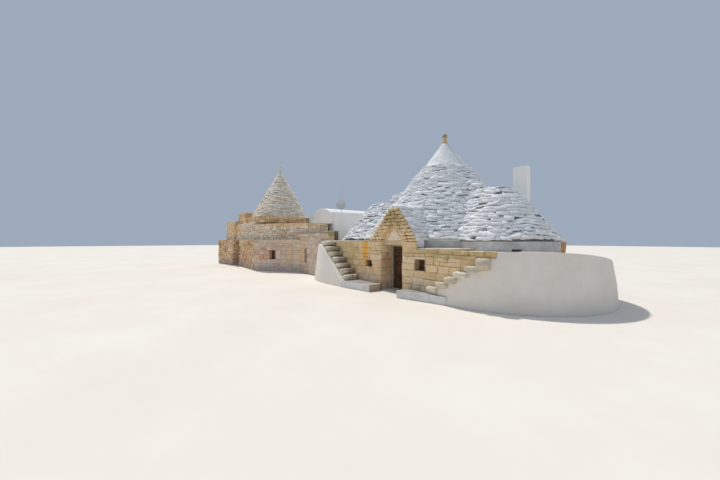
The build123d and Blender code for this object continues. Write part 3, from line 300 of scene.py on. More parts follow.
plainLooks = {
    "limewash": {
        "clouds": ((0.8, 0.735, 0.65), (0.88, 0.83, 0.745), 0.8), "growth": ((0.76, 0.69, 0.6), 1.6, 0.3),
        "stretch": (1, 1, 0.35), "dirt": ((0.7, 0.64, 0.58), 0.15, 0.4), "grain": (3, 45, 0.02),
        "roughness": 0.82,
    },
    "blockWash": {
        "clouds": ((0.88, 0.86, 0.82), (0.95, 0.93, 0.89), 0.8), "growth": ((0.8, 0.78, 0.74), 1.6, 0.3),
        "stretch": (1, 1, 0.35), "grain": (3, 45, 0.02), "roughness": 0.82,
    },
    "plinthWash": {
        "clouds": ((0.52, 0.5, 0.5), (0.72, 0.71, 0.71), 2.5), "growth": ((0.56, 0.53, 0.48), 3, 0.5),
        "stretch": (1, 1, 0.5), "grain": (6, 50, 0.04), "roughness": 0.85,
    },
    "roofWash": {
        "clouds": ((0.74, 0.75, 0.77), (0.88, 0.88, 0.87), 2),
        "growth": ((0.76, 0.73, 0.64), 2.2, 0.5, 5.8, 6.6), "grain": (5, 50, 0.05), "roughness": 0.85,
    },
    "earthJoint": {
        "clouds": ((0.42, 0.28, 0.16), (0.66, 0.48, 0.29), 6), "grain": (20, 90, 0.03), "roughness": 0.96,
    },
    "limeJoint": {
        "clouds": ((0.5, 0.44, 0.35), (0.68, 0.62, 0.52), 5), "grain": (12, 70, 0.02), "roughness": 0.94,
    },
    "slateJoint": {
        "clouds": ((0.44, 0.38, 0.32), (0.6, 0.53, 0.46), 6), "grain": (20, 90, 0.03), "roughness": 0.96,
    },
    "screed": {
        "clouds": ((0.56, 0.51, 0.42), (0.7, 0.65, 0.56), 1.6), "growth": ((0.42, 0.38, 0.26), 2.2, 0.5),
        "grain": (5, 60, 0.03), "roughness": 0.93,
    },
    "paleStone": {
        "clouds": ((0.82, 0.68, 0.5), (0.92, 0.82, 0.67), 3), "grain": (8, 90, 0.01), "roughness": 0.88,
    },
    "lintelStone": {
        "clouds": ((0.62, 0.47, 0.25), (0.78, 0.62, 0.38), 5), "grain": (9, 90, 0.015), "roughness": 0.9,
    },
    "benchStone": {
        "clouds": ((0.74, 0.73, 0.71), (0.88, 0.87, 0.86), 2), "growth": ((0.5, 0.48, 0.43), 3.5, 0.45),
        "dirt": ((0.5, 0.48, 0.45), 0.0, 0.35), "grain": (9, 80, 0.015), "roughness": 0.88,
    },
    # The bench slabs' dark clouds are partly the stone's own colour and partly painted shade on their tops
    "benchTopStoneAndShade": {
        "clouds": ((0.26, 0.24, 0.23), (0.44, 0.41, 0.38), 6),
        "patches": (((0.14, -4.6, 0.12), (0.3, 0.5, 0.3), (0.58, 0.43, 0.3), 0.9),),
        "grain": (12, 80, 0.02), "roughness": 0.92,
    },
    "finialStone": {
        "clouds": ((0.48, 0.34, 0.13), (0.74, 0.57, 0.28), 10),
        "patches": (((0, 0, 7.34), (0.4, 0.4, 0.14), (0.24, 0.22, 0.12), 0.8),), "grain": (25, 120, 0.02),
        "roughness": 0.92,
    },
    "paleFinial": {
        "clouds": ((0.56, 0.49, 0.4), (0.76, 0.7, 0.61), 10), "grain": (25, 120, 0.02), "roughness": 0.92,
    },
    "framePaint": {
        "clouds": ((0.42, 0.38, 0.27), (0.6, 0.56, 0.43), 6), "growth": ((0.2, 0.19, 0.13), 12, 0.6),
        "stretch": (1, 1, 0.2), "grain": (30, 140, 0.002), "roughness": 0.6,
    },
    "windowTimber": {
        "clouds": ((0.13, 0.06, 0.03), (0.3, 0.15, 0.07), 12), "grain": (30, 140, 0.002), "roughness": 0.6,
    },
    "castIron": {
        "clouds": ((0.03, 0.03, 0.035), (0.08, 0.08, 0.085), 12), "grain": (40, 160, 0.001),
        "roughness": 0.5, "metallic": 0.3,
    },
    "zinc": {
        "clouds": ((0.46, 0.49, 0.49), (0.62, 0.65, 0.65), 8), "grain": (30, 160, 0.001), "roughness": 0.5,
        "metallic": 0.4,
    },
    "pavement": {
        "clouds": ((0.82, 0.75, 0.66), (0.87, 0.81, 0.73), 0.3), "grain": (2, 30, 0.002), "roughness": 0.9,
    },
}
materials = {name: stoneMaterial(name, look) for name, look in stoneLooks.items()}
materials.update({name: plainMaterial(name, look) for name, look in plainLooks.items()})

# Dark varnished boards with an upright grain
timber = {"dark": (0.03, 0.02, 0.014), "light": (0.12, 0.075, 0.045), "grain": (14, 14, 0.7), "boards": 9}
materials["timber"], tree, shader, place = newMaterial("timber", 0.45)
along = addNode(tree, "Mapping", Vector=place, Scale=timber["grain"]).outputs[0]
streaks = noiseAt(tree, along, Scale=timber["boards"], Detail=8, Roughness=0.7)
plug(tree, shader.inputs["Base Color"], ramp(tree, streaks, ((0.3, timber["dark"]), (0.7, timber["light"]))))
ribs = addNode(tree, "Bump", Height=streaks, Distance=0.002, Strength=0.6).outputs[0]
plug(tree, shader.inputs["Normal"], ribs)

# Panes before dark rooms: their clear colour is painted shade of the rooms behind, with a little old dust
pane = {"clear": (0.08, 0.04, 0.022), "dust": (0.19, 0.1, 0.06), "scale": 5, "through": 0.3,
        "roughness": 0.12}
materials["pane"], tree, shader, place = newMaterial("pane", pane["roughness"])
dust = useGroup(tree, mottleGroup, Vector=place, Scale=pane["scale"], Dark=rgb(pane["clear"]),
                Light=rgb(pane["dust"]))
plug(tree, shader.inputs["Base Color"], dust)
plug(tree, shader.inputs["Transmission Weight"], pane["through"])
print("materials made", len(materials))


# Stones are cubes pushed out of square, each with its own tone
def newStones():
    bm = bmesh.new()
    return bm, bm.verts.layers.float.new("tone")


def pour(bm, whole):
    # Moves one mesh into another
    part = bpy.data.meshes.new("part")
    bm.to_mesh(part)
    bm.free()
    whole.from_mesh(part)
    bpy.data.meshes.remove(part)


# The courses sway twice as much upwards as sideways, and a finer sway lies over the first
swaying = {"upwards": 2, "fineScale": 5, "fineShare": 0.3}


def finishStones(name, groups, material, look, body="house"):
    # Sways the courses a little, rounds the stones' edges and joins the groups as one piece
    whole = bmesh.new()
    for bm, layer in groups:
        for vert in bm.verts:
            push = noise.noise_vector(vert.co * look["swayScale"])
            vert.co += Vector((push.x, push.y, push.z * swaying["upwards"])) * look["sway"]
            push = noise.noise_vector(vert.co * look["swayScale"] * swaying["fineScale"])
            vert.co += push * look["sway"] * swaying["fineShare"]
            vert.co.z = max(vert.co.z, 0)
        bmesh.ops.bevel(bm, geom=bm.edges[:], offset=look["bevel"], offset_type="OFFSET", segments=1,
                        profile=0.5, affect="EDGES", clamp_overlap=True, material=-1)
        bmesh.ops.recalc_face_normals(bm, faces=bm.faces[:])
        pour(bm, whole)
    for face in whole.faces:
        face.smooth = True
    piece = finishPiece(name, whole, material, body)
    if look.get("crisp", True):
        piece.modifiers.new("crisp faces", "WEIGHTED_NORMAL").weight = 60
    return piece


def finishPiece(name, bm, material, body="house"):
    mesh = bpy.data.meshes.new(name)
    bm.to_mesh(mesh)
    bm.free()
    mesh.materials.append(materials[material])
    piece = bpy.data.objects.new(name, mesh)
    bpy.context.collection.objects.link(piece)
    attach(piece, body)
    print(name, len(mesh.polygons), "faces")
    return piece


clusters = {"share": 0.45, "scale": 0.7}


def toneAt(spot, rng, tones=(0, 1)):
    # Random, with like stones in clusters
    cluster = clusters["share"] * noise.noise(spot * clusters["scale"])
    return tones[0] + (tones[1] - tones[0]) * min(max(rng.random() + cluster, 0), 1)


def addStone(stones, place, size, jitter, rng, tones=(0, 1)):
    bm, layer = stones
    made = bmesh.ops.create_cube(bm, size=1, matrix=place @ Matrix.Diagonal((*size, 1)))["verts"]
    tone = toneAt(place.translation, rng, tones)
    for vert in made:
        vert.co += Vector([rng.uniform(-jitter, jitter) for axis in range(3)])
        vert[layer] = tone
    return made


def fitted(length, sizes, rng):
    # Random sizes that fill a length exactly
    count = max(1, round(length / (sum(sizes) / 2)))
    parts = [rng.uniform(*sizes) for part in range(count)]
    return [part * length / sum(parts) for part in parts]


def roundPoints(centre, radius, start, end, step):
    count = max(1, round(abs(end - start) / step))
    angles = [math.radians(start + (end - start) * i / count) for i in range(count + 1)]
    return [(centre[0] + radius * math.cos(a), centre[1] + radius * math.sin(a)) for a in angles]


def lineLength(points):
    return sum(math.dist(a, b) for a, b in zip(points, points[1:]))


def onLine(points, distance):
    # The place at a distance along a line of points, and the line's heading there
    for a, b in zip(points, points[1:]):
        length = math.dist(a, b)
        if distance <= length or b == points[-1]:
            share = distance / length
            spot = (a[0] + (b[0] - a[0]) * share, a[1] + (b[1] - a[1]) * share)
            return Vector((*spot, 0)), math.atan2(b[1] - a[1], b[0] - a[0])
        distance -= length


# Where a broken cell is split, and the narrowest stretch and stone that are laid
splitting = {"bed": (0.38, 0.62), "cut": (0.35, 0.65), "twice": 0.5, "stretch": 0.04, "stone": 0.03}


def cells(left, right, low, high, look, rng):
    # Stretches of a wall's face as (left, width, low, height), some broken into two beds or more
    for height in fitted(high - low, look["heights"], rng):
        at = left
        for width in fitted(right - left, look["widths"], rng):
            if rng.random() < look["broken"] and height > look["heights"][0]:
                lower = height * rng.uniform(*splitting["bed"])
                for bottom, part in ((low, lower), (low + lower, height - lower)):
                    if rng.random() < splitting["twice"]:
                        cut = width * rng.uniform(*splitting["cut"])
                        yield at, cut, bottom, part
                        yield at + cut, width - cut, bottom, part
                    else:
                        yield at, width, bottom, part
            else:
                yield at, width, low, height
            at += width
        low += height


def layWall(points, low, high, look, rng, holes=()):
    # Stones on a wall whose outer face lies to the right of its line of points.
    # Each hole is (start, end, sill, top).
    stones = newStones()
    breaks = sorted({low, high, *[z for hole in holes for z in hole[2:] if low < z < high]})
    for bottom, top in zip(breaks, breaks[1:]):
        shut = sorted((h[0], h[1]) for h in holes if h[2] <= bottom and h[3] >= top)
        start = 0
        for left, right in [*shut, (lineLength(points), None)]:
            if left - start > splitting["stretch"]:
                for at, width, z, height in cells(start, left, bottom, top, look, rng):
                    spot, heading = onLine(points, at + width / 2)
                    proud = rng.uniform(*look["proud"])
                    tilt = rng.uniform(-look["tilt"], look["tilt"])
                    place = (Matrix.Translation(spot + Vector((0, 0, z + height / 2)))
                             @ Matrix.Rotation(heading, 4, "Z")
                             @ Matrix.Translation((0, look["depth"] / 2 - proud, 0))
                             @ Matrix.Rotation(tilt, 4, "Y"))
                    width, height = (max(s - look["joint"], splitting["stone"]) for s in (width, height))
                    size = (width, look["depth"], height)
                    addStone(stones, place, size, look["jitter"], rng, look.get("toneRange", (0, 1)))
            start = right
    return stones


def layRuns(runs, rng):
    # Walls laid one after the other, each given as points, foot, top, look and perhaps its holes
    return [layWall(points, low, high, look, rng, *holes) for points, low, high, look, *holes in runs]


# Limewashed and bare roof slates, in rings that overhang one another
slates = {"spacing": 0.16, "widths": (0.16, 0.46), "depth": 0.34, "thickness": (0.055, 0.115), "lean": 0.5,
          "proud": (-0.02, 0.06), "yaw": 0.14, "roll": 0.1, "joint": -0.02, "jitter": 0.02, "bevel": 0.024,
          "sway": 0.05, "swayScale": 0.9, "lift": 0.02, "tip": 0.12, "crisp": False}


def profileSteps(profile, spacing):
    # Points along a section of (radius, height), spaced evenly on its slope, with the slope there
    steps = []
    left = spacing / 2
    for (r0, z0), (r1, z1) in zip(profile, profile[1:]):
        length = math.dist((r0, z0), (r1, z1))
        slope = math.atan2(z1 - z0, r0 - r1)
        while left <= length:
            share = left / length
            steps.append((r0 + (r1 - r0) * share, z0 + (z1 - z0) * share, slope))
            left += spacing
        left -= length
    return steps


def radiusAt(profile, height):
    for (r0, z0), (r1, z1) in zip(profile, profile[1:]):
        if z0 <= height <= z1:
            return r0 + (r1 - r0) * (height - z0) / (z1 - z0)
    return 0


def laySlates(points, height, slope, look, rng, skip=None):
    # One ring of slates along a line whose outer side lies to the right
    stones = newStones()
    at = 0
    for width in fitted(lineLength(points), look["widths"], rng):
        spot, heading = onLine(points, at + width / 2)
        at += width
        if skip and skip(spot, height):
            continue
        thickness = rng.uniform(*look["thickness"])
        lift, yaw, tip, roll = (rng.uniform(-look[key], look[key]) for key in ("lift", "yaw", "tip", "roll"))
        place = (Matrix.Translation(spot + Vector((0, 0, height + lift)))
                 @ Matrix.Rotation(heading + yaw, 4, "Z")
                 @ Matrix.Rotation(slope * look["lean"] + tip, 4, "X")
                 @ Matrix.Rotation(roll, 4, "Y")
                 @ Matrix.Translation((0, look["depth"] / 2 - rng.uniform(*look["proud"]), thickness / 2)))
        addStone(stones, place, (width - look["joint"], look["depth"], thickness), look["jitter"], rng)
    return stones


mainCone = {"profile": ((4.05, 2.05), (1.75, 4.78), (0.13, 6.93)), "slatesTo": 5.62}
lobes = {
    "right": {"centre": (3.56, -1.0), "profile": ((1.94, 2.05), (0.56, 3.87), (0.336, 3.996), (0.02, 4.05)),
              "peak": 4.609},
    "left": {"centre": (-3.9, -1.1), "profile": ((2.12, 2.05), (0.56, 3.87), (0.336, 4.04), (0.02, 4.1)),
             "peak": 4.523},
}
# Both lobes' ridges climb towards the main cone and carry courses of their own
ridges = {"top": 3.87, "climb": 0.35, "courses": 5, "spacing": 0.12, "slopeShare": 0.6, "cover": 0.12,
          "narrowest": 0.03, "into": 0.1, "shortest": 0.02}
chimney = {"centre": (3.6, 0.35), "size": (0.6, 0.33)}


def closeMesh(name, bm, material, bevel=0.0):
    # Rounded plaster or stone: normals outwards, soft edges
    bmesh.ops.remove_doubles(bm, verts=bm.verts[:], dist=0.0005)
    bmesh.ops.recalc_face_normals(bm, faces=bm.faces[:])
    for face in bm.faces:
        face.smooth = True
    piece = finishPiece(name, bm, material)
    if bevel:
        rounded = piece.modifiers.new("rounded edges", "BEVEL")
        rounded.width = bevel
        rounded.segments = 3
        rounded.limit_method = "ANGLE"
        rounded.angle_limit = math.radians(30)
    piece.modifiers.new("even faces", "WEIGHTED_NORMAL").weight = 60
    return piece


def turnSection(points, centre, steps=96):
    # A section of (radius, height) spun about an upright axis
    bm = bmesh.new()
    verts = [bm.verts.new((centre[0] + radius, centre[1], height)) for radius, height in points]
    edges = [bm.edges.new(pair) for pair in zip(verts, verts[1:])]
    bmesh.ops.spin(bm, geom=verts + edges, cent=(*centre, 0), axis=(0, 0, 1), angle=2 * math.pi, steps=steps,
                   use_merge=True)
    return bm


def extrude(bm, corners, move):
    # A face drawn out along a vector
    base = bm.faces.new([bm.verts.new(corner) for corner in corners])
    grown = bmesh.ops.extrude_face_region(bm, geom=[base])["geom"]
    far = [item for item in grown if isinstance(item, bmesh.types.BMVert)]
    bmesh.ops.translate(bm, verts=far, vec=move)


def addPrism(bm, outline, low, high):
    extrude(bm, [(*point, low) for point in outline], (0, 0, high - low))


def flankAt(lobe, height):
    # Half the width of a lobe's ridge
    eave, foot = lobe["profile"][0]
    return eave * max(lobe["peak"] - height, 0) / (lobe["peak"] - foot)


def ridgeStart(height):
    # How far from a lobe's centre its ridge has climbed to this height
    return max(height - ridges["top"], 0) / ridges["climb"]


def lobeRing(lobe, height, inset=0.0):
    # From the main cone along one flank, round the end, and back along the other flank
    centre = Vector(lobe["centre"])
    away = centre.normalized()
    side = Vector((-away.y, away.x))
    flank = max(flankAt(lobe, height), radiusAt(lobe["profile"], height)) - inset
    if flank < ridges["narrowest"]:
        return []
    rise = ridgeStart(height)
    cone = radiusAt(mainCone["profile"], height)
    reach = centre.length - math.sqrt(max(cone ** 2 - flank ** 2, 0)) + ridges["into"]
    if reach <= rise:
        return []
    turn = math.degrees(math.atan2(away.y, away.x))
    radius = max(radiusAt(lobe["profile"], height) - inset, ridges["shortest"])
    end = []
    if height <= lobe["profile"][-1][1]:
        end = roundPoints(centre, radius, turn - 90, turn + 90, step=12)
    one, two = centre - side * flank, centre + side * flank
    line = [tuple(one - away * reach), tuple(one - away * rise), *end, tuple(two - away * rise),
            tuple(two - away * reach)]
    kept = [line[0]]
    for point in line[1:]:
        if math.dist(point, kept[-1]) > ridges["shortest"]:
            kept.append(point)
    return kept


def underLobe(spot, height):
    # Slates of the main cone that a lobe's own would cover
    for lobe in lobes.values():
        centre = Vector(lobe["centre"])
        away = centre.normalized()
        offset = Vector(spot[:2]) - centre
        along = offset.dot(away)
        across = abs(offset.dot(Vector((-away.y, away.x)))) + ridges["cover"]
        if across < flankAt(lobe, height) and -centre.length < along < -ridgeStart(height):
            return True
        if offset.length + ridges["cover"] < radiusAt(lobe["profile"], height):
            return True
    return False


# Where the gable's own stones and slates stand, under slopes that fall one to one
gableRoom = {"middle": 0.7, "half": 1.3, "top": 3.45, "back": -2.5, "right": 2.1}


def underGable(spot, height):
    half = min(gableRoom["top"] - height, gableRoom["half"])
    return abs(spot[0] - gableRoom["middle"]) < half and spot[1] < gableRoom["back"]


def hiddenSlate(spot, height):
    return underLobe(spot, height) or underGable(spot, height)


def inChimney(spot, height):
    # The lobes' slates leave room for the chimney, and for the gable beside them
    near = Vector(spot[:2]) - Vector(chimney["centre"])
    inside = abs(near.x) < chimney["size"][0] / 2 and abs(near.y) < chimney["size"][1] / 2
    return inside or (spot[0] < gableRoom["right"] and underGable(spot, height))


# Under the slates: the main cone's core with its smooth limewashed top, and courses that stack up
# as the two lobes
coneCore = {"inset": 0.06, "domeFoot": (3.0, 2.05), "domeTop": (0.35, 4.9), "capFoot": 5.4, "capFull": 5.58,
            "lobeInset": 0.07, "lobeCourse": 0.8}
profile, foot, full = mainCone["profile"], coneCore["capFoot"], coneCore["capFull"]
outside = [(radius - coneCore["inset"], height) for radius, height in profile[:-1]]
outside += [(radiusAt(profile, foot) - coneCore["inset"], foot), (radiusAt(profile, full), full), profile[-1],
            (0, profile[-1][1])]
inside = [(0, coneCore["domeTop"][1]), coneCore["domeTop"], coneCore["domeFoot"], outside[0]]
core = closeMesh("main_cone_core", turnSection(inside + outside, (0, 0)), "roofWash")
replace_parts(core, "main_cone")
for side, lobe in lobes.items():
    bm = bmesh.new()
    height = lobe["profile"][0][1]
    while True:
        ring = lobeRing(lobe, height, coneCore["lobeInset"])
        if not ring:
            break
        addPrism(bm, ring, height, height + slates["spacing"] * coneCore["lobeCourse"])
        height += slates["spacing"] * coneCore["lobeCourse"]
    core = closeMesh(side + "_lobe_core", bm, "roofWash")
    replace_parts(core, side + "_lobe")

rng = random.Random(11)
for side, start in (("front", -180), ("rear", 0)):
    rings = []
    for radius, height, slope in profileSteps(mainCone["profile"], slates["spacing"]):
        if height < mainCone["slatesTo"]:
            ring = roundPoints((0, 0), radius, start, start + 180, step=5)
            rings.append(laySlates(ring, height, slope, slates, rng, hiddenSlate))
    finishStones("main_cone_slates_" + side, rings, "whiteSlate", slates)
ridgeSlates = dict(slates, depth=0.5, thickness=(0.1, 0.14))
for side, lobe in lobes.items():
    rings = []
    steps = profileSteps(lobe["profile"], slates["spacing"])
    top, ridgeSlope = steps[-1][1], steps[0][2] * ridges["slopeShare"]
    ridge = [(0, top + ridges["spacing"] * (i + 1), ridgeSlope) for i in range(ridges["courses"])]
    for courses, look in ((steps, slates), (ridge, ridgeSlates)):
        for radius, height, slope in courses:
            ring = lobeRing(lobe, height)
            if ring:
                rings.append(laySlates(ring, height, slope, look, rng, inChimney))
    finishStones(side + "_lobe_slates", rings, "whiteSlate", slates)

smallCone = {"centre": (-14.0, -3.25), "profile": ((2.23, 3.8), (0.11, 7.56)), "slatesTo": 7.42,
             "room": ((0, 6.3), (0.3, 6.3), (1.7, 3.8)), "inset": 0.05, "facets": 64, "cover": 2.4}
smallSlates = dict(slates, spacing=0.125, widths=(0.13, 0.36), thickness=(0.05, 0.08), depth=0.26,
                   proud=(-0.01, 0.02), joint=0.004, jitter=0.01, bevel=0.016, sway=0.02, yaw=0.08, roll=0.05,
                   crisp=True)
outline = [(radius - smallCone["inset"], height) for radius, height in smallCone["profile"]]
section = [*smallCone["room"], *outline, (0, outline[-1][1])]
bm = turnSection(section, smallCone["centre"], smallCone["facets"])
core = closeMesh("small_cone_core", bm, "slateJoint")
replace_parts(core, "small_cone")
rings = []
for radius, height, slope in profileSteps(smallCone["profile"], smallSlates["spacing"]):
    if height < smallCone["slatesTo"]:
        ring = roundPoints(smallCone["centre"], radius, -180, 180, step=8)
        rings.append(laySlates(ring, height, slope, smallSlates, rng))
finishStones("small_cone_slates", rings, "bareSlate", smallSlates)
print("slates laid")

# The carved stones on both tips: a foot, a stem and a ball
finials = {
    "main_finial": {"centre": (0, 0), "foot": (0.13, 6.93), "height": 0.48, "ball": 0.125, "neck": 0.7,
                    "material": "finialStone", "rough": 0.012},
    "small_finial": {"centre": (-14.0, -3.25), "foot": (0.11, 7.56), "height": 0.59, "ball": 0.14,
                     "neck": 0.6, "material": "paleFinial", "rough": 0.015},
}
carving = {"rings": 10, "facets": 24, "least": 0.001, "roughScale": 9}
for name, values in finials.items():
    footRadius, foot = values["foot"]
    ball = values["ball"]
    start = math.acos(values["neck"])
    section = [(0, foot), (footRadius, foot), (footRadius, foot + ball / 2),
               (values["neck"] * ball, foot + ball)]
    middle = foot + values["height"] - ball
    for i in range(carving["rings"] + 1):
        angle = -start + (math.pi / 2 + start) * i / carving["rings"]
        section.append((max(ball * math.cos(angle), 0), middle + ball * math.sin(angle)))
    bm = turnSection(section, values["centre"], carving["facets"])
    bmesh.ops.remove_doubles(bm, verts=bm.verts[:], dist=carving["least"])
    for vert in bm.verts:
        vert.co += noise.noise_vector(vert.co * carving["roughScale"]) * values["rough"]
    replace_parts(closeMesh(name + "_stone", bm, values["material"]), name)

# Rubble and squared walls
rubble = {"heights": (0.2, 0.36), "widths": (0.2, 0.46), "broken": 0.7, "depth": 0.16,
          "proud": (0.018, 0.06), "joint": 0.016, "jitter": 0.022, "tilt": 0.06,
          "bevel": 0.022, "sway": 0.03, "swayScale": 1.3}
coursed = {"heights": (0.2, 0.34), "widths": (0.3, 0.75), "broken": 0.25, "depth": 0.14,
           "proud": (0.018, 0.034), "joint": 0.01, "jitter": 0.008, "tilt": 0.015,
           "bevel": 0.012, "sway": 0.012, "swayScale": 1.0}
ashlar = {"heights": (0.26, 0.36), "widths": (0.34, 0.66), "broken": 0.3, "depth": 0.12,
          "proud": (0.014, 0.034), "joint": 0.008, "jitter": 0.014, "tilt": 0.015,
          "bevel": 0.015, "sway": 0.02, "swayScale": 1.4}
rearRubble = dict(rubble, heights=(0.26, 0.44), widths=(0.26, 0.56))

wing = {
    "top": 2.1, "linkTop": 2.05, "westLeft": (-20.3, -6.72), "westRight": (-17.05, -6.23), "jambBack": -5.13,
    "middleLeft": (-16.05, -5.93), "corner": (-11.56, -6.07), "bend": (-8.27, -4.03), "ledgeLeft": -5.66,
    "rearY": 0.5, "blockLeft": -11.3, "blockRight": -7.5, "linkRight": -3.5,
    "slantedWindow": (1.35, 1.85, 0.79, 1.41), "slitWindow": (0.54, 0.88, 0.7, 1.58),
}
rng = random.Random(23)
terrace, linkTop, bendY = wing["top"], wing["linkTop"], wing["bend"][1]
westRight, middleLeft = wing["westRight"], wing["middleLeft"]
walls = layRuns([
    ([wing["westLeft"], westRight], 0, terrace, rubble),
    ([westRight, (westRight[0], wing["jambBack"])], 0, terrace, rubble),
    ([(middleLeft[0], wing["jambBack"]), middleLeft], 0, terrace, rubble),
    ([middleLeft, wing["corner"]], 0, terrace, rubble),
], rng)
finishStones("wing_front_rubble", walls, "rubble", rubble)

walls = layRuns([
    ([wing["corner"], wing["bend"]], 0, terrace, coursed, [wing["slantedWindow"]]),
    ([wing["bend"], (wing["ledgeLeft"], bendY)], 0, linkTop, coursed, [wing["slitWindow"]]),
], rng)
finishStones("link_wall_stones", walls, "wingStone", coursed)

# The back of the wing, of the link, of the main drum and of the right lobe's drum above the ledge
rearCorner = (wing["westLeft"][0], wing["rearY"])
drums = {"mainRadius": 3.95, "mainEnds": (13, 172), "mainTop": 1.98, "lobeRadius": 1.88, "lobeEnds": (14, 78),
         "eaveRadius": 1.96, "eaveEnds": (17, 78), "ledge": 0.4, "eave": 1.6, "lobeTop": 2.02}
mainLine = roundPoints((0, 0), drums["mainRadius"], *drums["mainEnds"], step=8)
lobeLine = roundPoints(lobes["right"]["centre"], drums["lobeRadius"], *drums["lobeEnds"], step=12)
eaveLine = roundPoints(lobes["right"]["centre"], drums["eaveRadius"], *drums["eaveEnds"], step=12)
walls = layRuns([
    ([rearCorner, wing["westLeft"]], 0, terrace, rearRubble),
    ([(wing["blockLeft"], wing["rearY"]), rearCorner], 0, terrace, rearRubble),
    ([(wing["linkRight"], wing["rearY"]), (wing["blockRight"], wing["rearY"])], 0, linkTop, rearRubble),
    (mainLine, 0, drums["mainTop"], rearRubble),
    (lobeLine, drums["ledge"], drums["eave"], rearRubble),
    (eaveLine, drums["eave"], drums["lobeTop"], rubble),
], rng)
finishStones("rear_rubble", walls, "rubble", rubble)

tiers = {
    "two": 3.35, "east": 3.2, "west": 3.65, "three": 3.8, "threeWest": 4.3,
    "westEnd": (-18.6, -6.344), "westFront": (-17.0, -6.11), "left": (-17.0, -5.93),
    "corner": (-11.56, -5.95), "eastEnd": (-7.76, -2.9), "eastBack": (-7.76, -2.37),
    "eastCut": (-8.56, -2.0), "rear": -0.6,
    "threeFront": -5.73, "threeRear": -0.8, "threeSplit": -15.3, "right": -11.3, "westDepth": 0.8,
    "splitDepth": 0.7,
}
west, east = tiers["left"][0], tiers["right"]
westBack = (tiers["westEnd"][0], tiers["left"][1] + tiers["westDepth"])
walls = layRuns([
    ([tiers["left"], tiers["corner"]], terrace, tiers["two"], rubble),
    ([tiers["corner"], tiers["eastEnd"]], terrace, tiers["east"], rubble),
    ([tiers["eastEnd"], tiers["eastBack"], tiers["eastCut"]], terrace, tiers["east"], rubble),
    ([westBack, tiers["westEnd"], tiers["westFront"], tiers["left"]], terrace, tiers["west"], rubble),
], rng)
finishStones("tier_two_rubble", walls, "greyRubble", rubble)

front, rear = tiers["threeFront"], tiers["threeRear"]
split = (tiers["threeSplit"], front)
walls = layRuns([
    ([split, (east, front)], tiers["two"], tiers["three"], rubble),
    ([(east, front), (east, rear)], tiers["two"], tiers["three"], rubble),
    ([(west, rear), (west, front), split, (split[0], front + tiers["splitDepth"])], tiers["two"],
     tiers["threeWest"], rubble),
    ([(east, rear), (west, rear)], tiers["two"], tiers["three"], rearRubble),
    ([(east, tiers["rear"]), (west, tiers["rear"])], terrace, tiers["two"], rearRubble),
    ([(west, tiers["rear"]), (west, westBack[1])], terrace, tiers["two"], rearRubble),
], rng)
finishStones("tier_three_rubble", walls, "rubble", rubble)

parapets = {"lowTop": 2.46, "highTop": 2.64, "lowStart": (-8.5, -4.173), "lowEnd": -5.6, "highEnd": -6.05,
            "backLeft": -8.3, "thickness": 0.4, "inset": 0.06, "coreStart": (-8.44, -4.07), "coreLow": 2.04}
lowEnd, lowBack = parapets["lowEnd"], bendY + parapets["thickness"]
(highLeft, highFront), highRight = tiers["eastEnd"], parapets["highEnd"]
highBack = highFront + parapets["thickness"]
walls = layRuns([
    ([parapets["lowStart"], wing["bend"], (lowEnd, bendY)], linkTop, parapets["lowTop"], coursed),
    ([(lowEnd, bendY), (lowEnd, lowBack), (parapets["backLeft"], lowBack)], terrace, parapets["lowTop"],
     coursed),
    ([(highLeft, highFront), (highRight, highFront)], linkTop, parapets["highTop"], coursed),
    ([(highRight, highBack), (highLeft, highBack)], terrace, parapets["highTop"], coursed),
], rng)
parapet = finishStones("parapet_stones", walls, "wingStone", coursed)
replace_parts(parapet, "parapets")
bm = bmesh.new()
inset = parapets["inset"]
addPrism(bm, [parapets["coreStart"], (wing["bend"][0] + inset, bendY + inset),
              (lowEnd - inset, bendY + inset), (lowEnd - inset, lowBack - inset),
              (parapets["backLeft"], lowBack - inset)], parapets["coreLow"], parapets["lowTop"])
addPrism(bm, [(highLeft, highFront + inset), (highRight, highFront + inset), (highRight, highBack - inset),
              (highLeft, highBack - inset)], parapets["coreLow"], parapets["highTop"])
closeMesh("parapet_core", bm, "limeJoint")
print("rubble laid")

# Thin flags on every flat top
flags = {"columns": (0.4, 0.7), "rows": (0.45, 0.95), "thickness": 0.045, "joint": 0.012, "jitter": 0.006,
         "bevel": 0.01, "sway": 0.008, "swayScale": 1.5, "lift": 0.005, "edge": 0.045}


def layFlags(left, right, front, rear, level, skip=None):
    # Flags between two lines that both run along X, each given by its Y at the left and right
    stones = newStones()
    x = left
    for width in fitted(right - left, flags["columns"], rng):
        shares = [(at - left) / (right - left) for at in (x, x + width)]
        fronts = [front[0] + (front[1] - front[0]) * share for share in shares]
        rears = [rear[0] + (rear[1] - rear[0]) * share for share in shares]
        depth = sum(rears) / 2 - sum(fronts) / 2
        at = 0
        for length in fitted(depth, flags["rows"], rng):
            low, high = at / depth, (at + length) / depth
            middle = Vector((x + width / 2, sum(fronts) / 2 + at + length / 2, level))
            at += length
            if skip and skip(middle):
                continue
            size = (width - flags["joint"], 1, flags["thickness"])
            made = addStone(stones, Matrix.Translation(middle + Vector((0, 0, flags["lift"]))), size, 0, rng)
            for vert in made:
                share = low if vert.co.y < middle.y else high
                end = 0 if vert.co.x < middle.x else 1
                gap = flags["joint"] / 2 if vert.co.y < middle.y else -flags["joint"] / 2
                vert.co.y = fronts[end] + (rears[end] - fronts[end]) * share + gap
                vert.co += Vector([rng.uniform(-flags["jitter"], flags["jitter"]) for axis in range(3)])
        x += width
    return stones


def overSmallCone(spot):
    return math.dist(spot[:2], smallCone["centre"]) < smallCone["cover"]


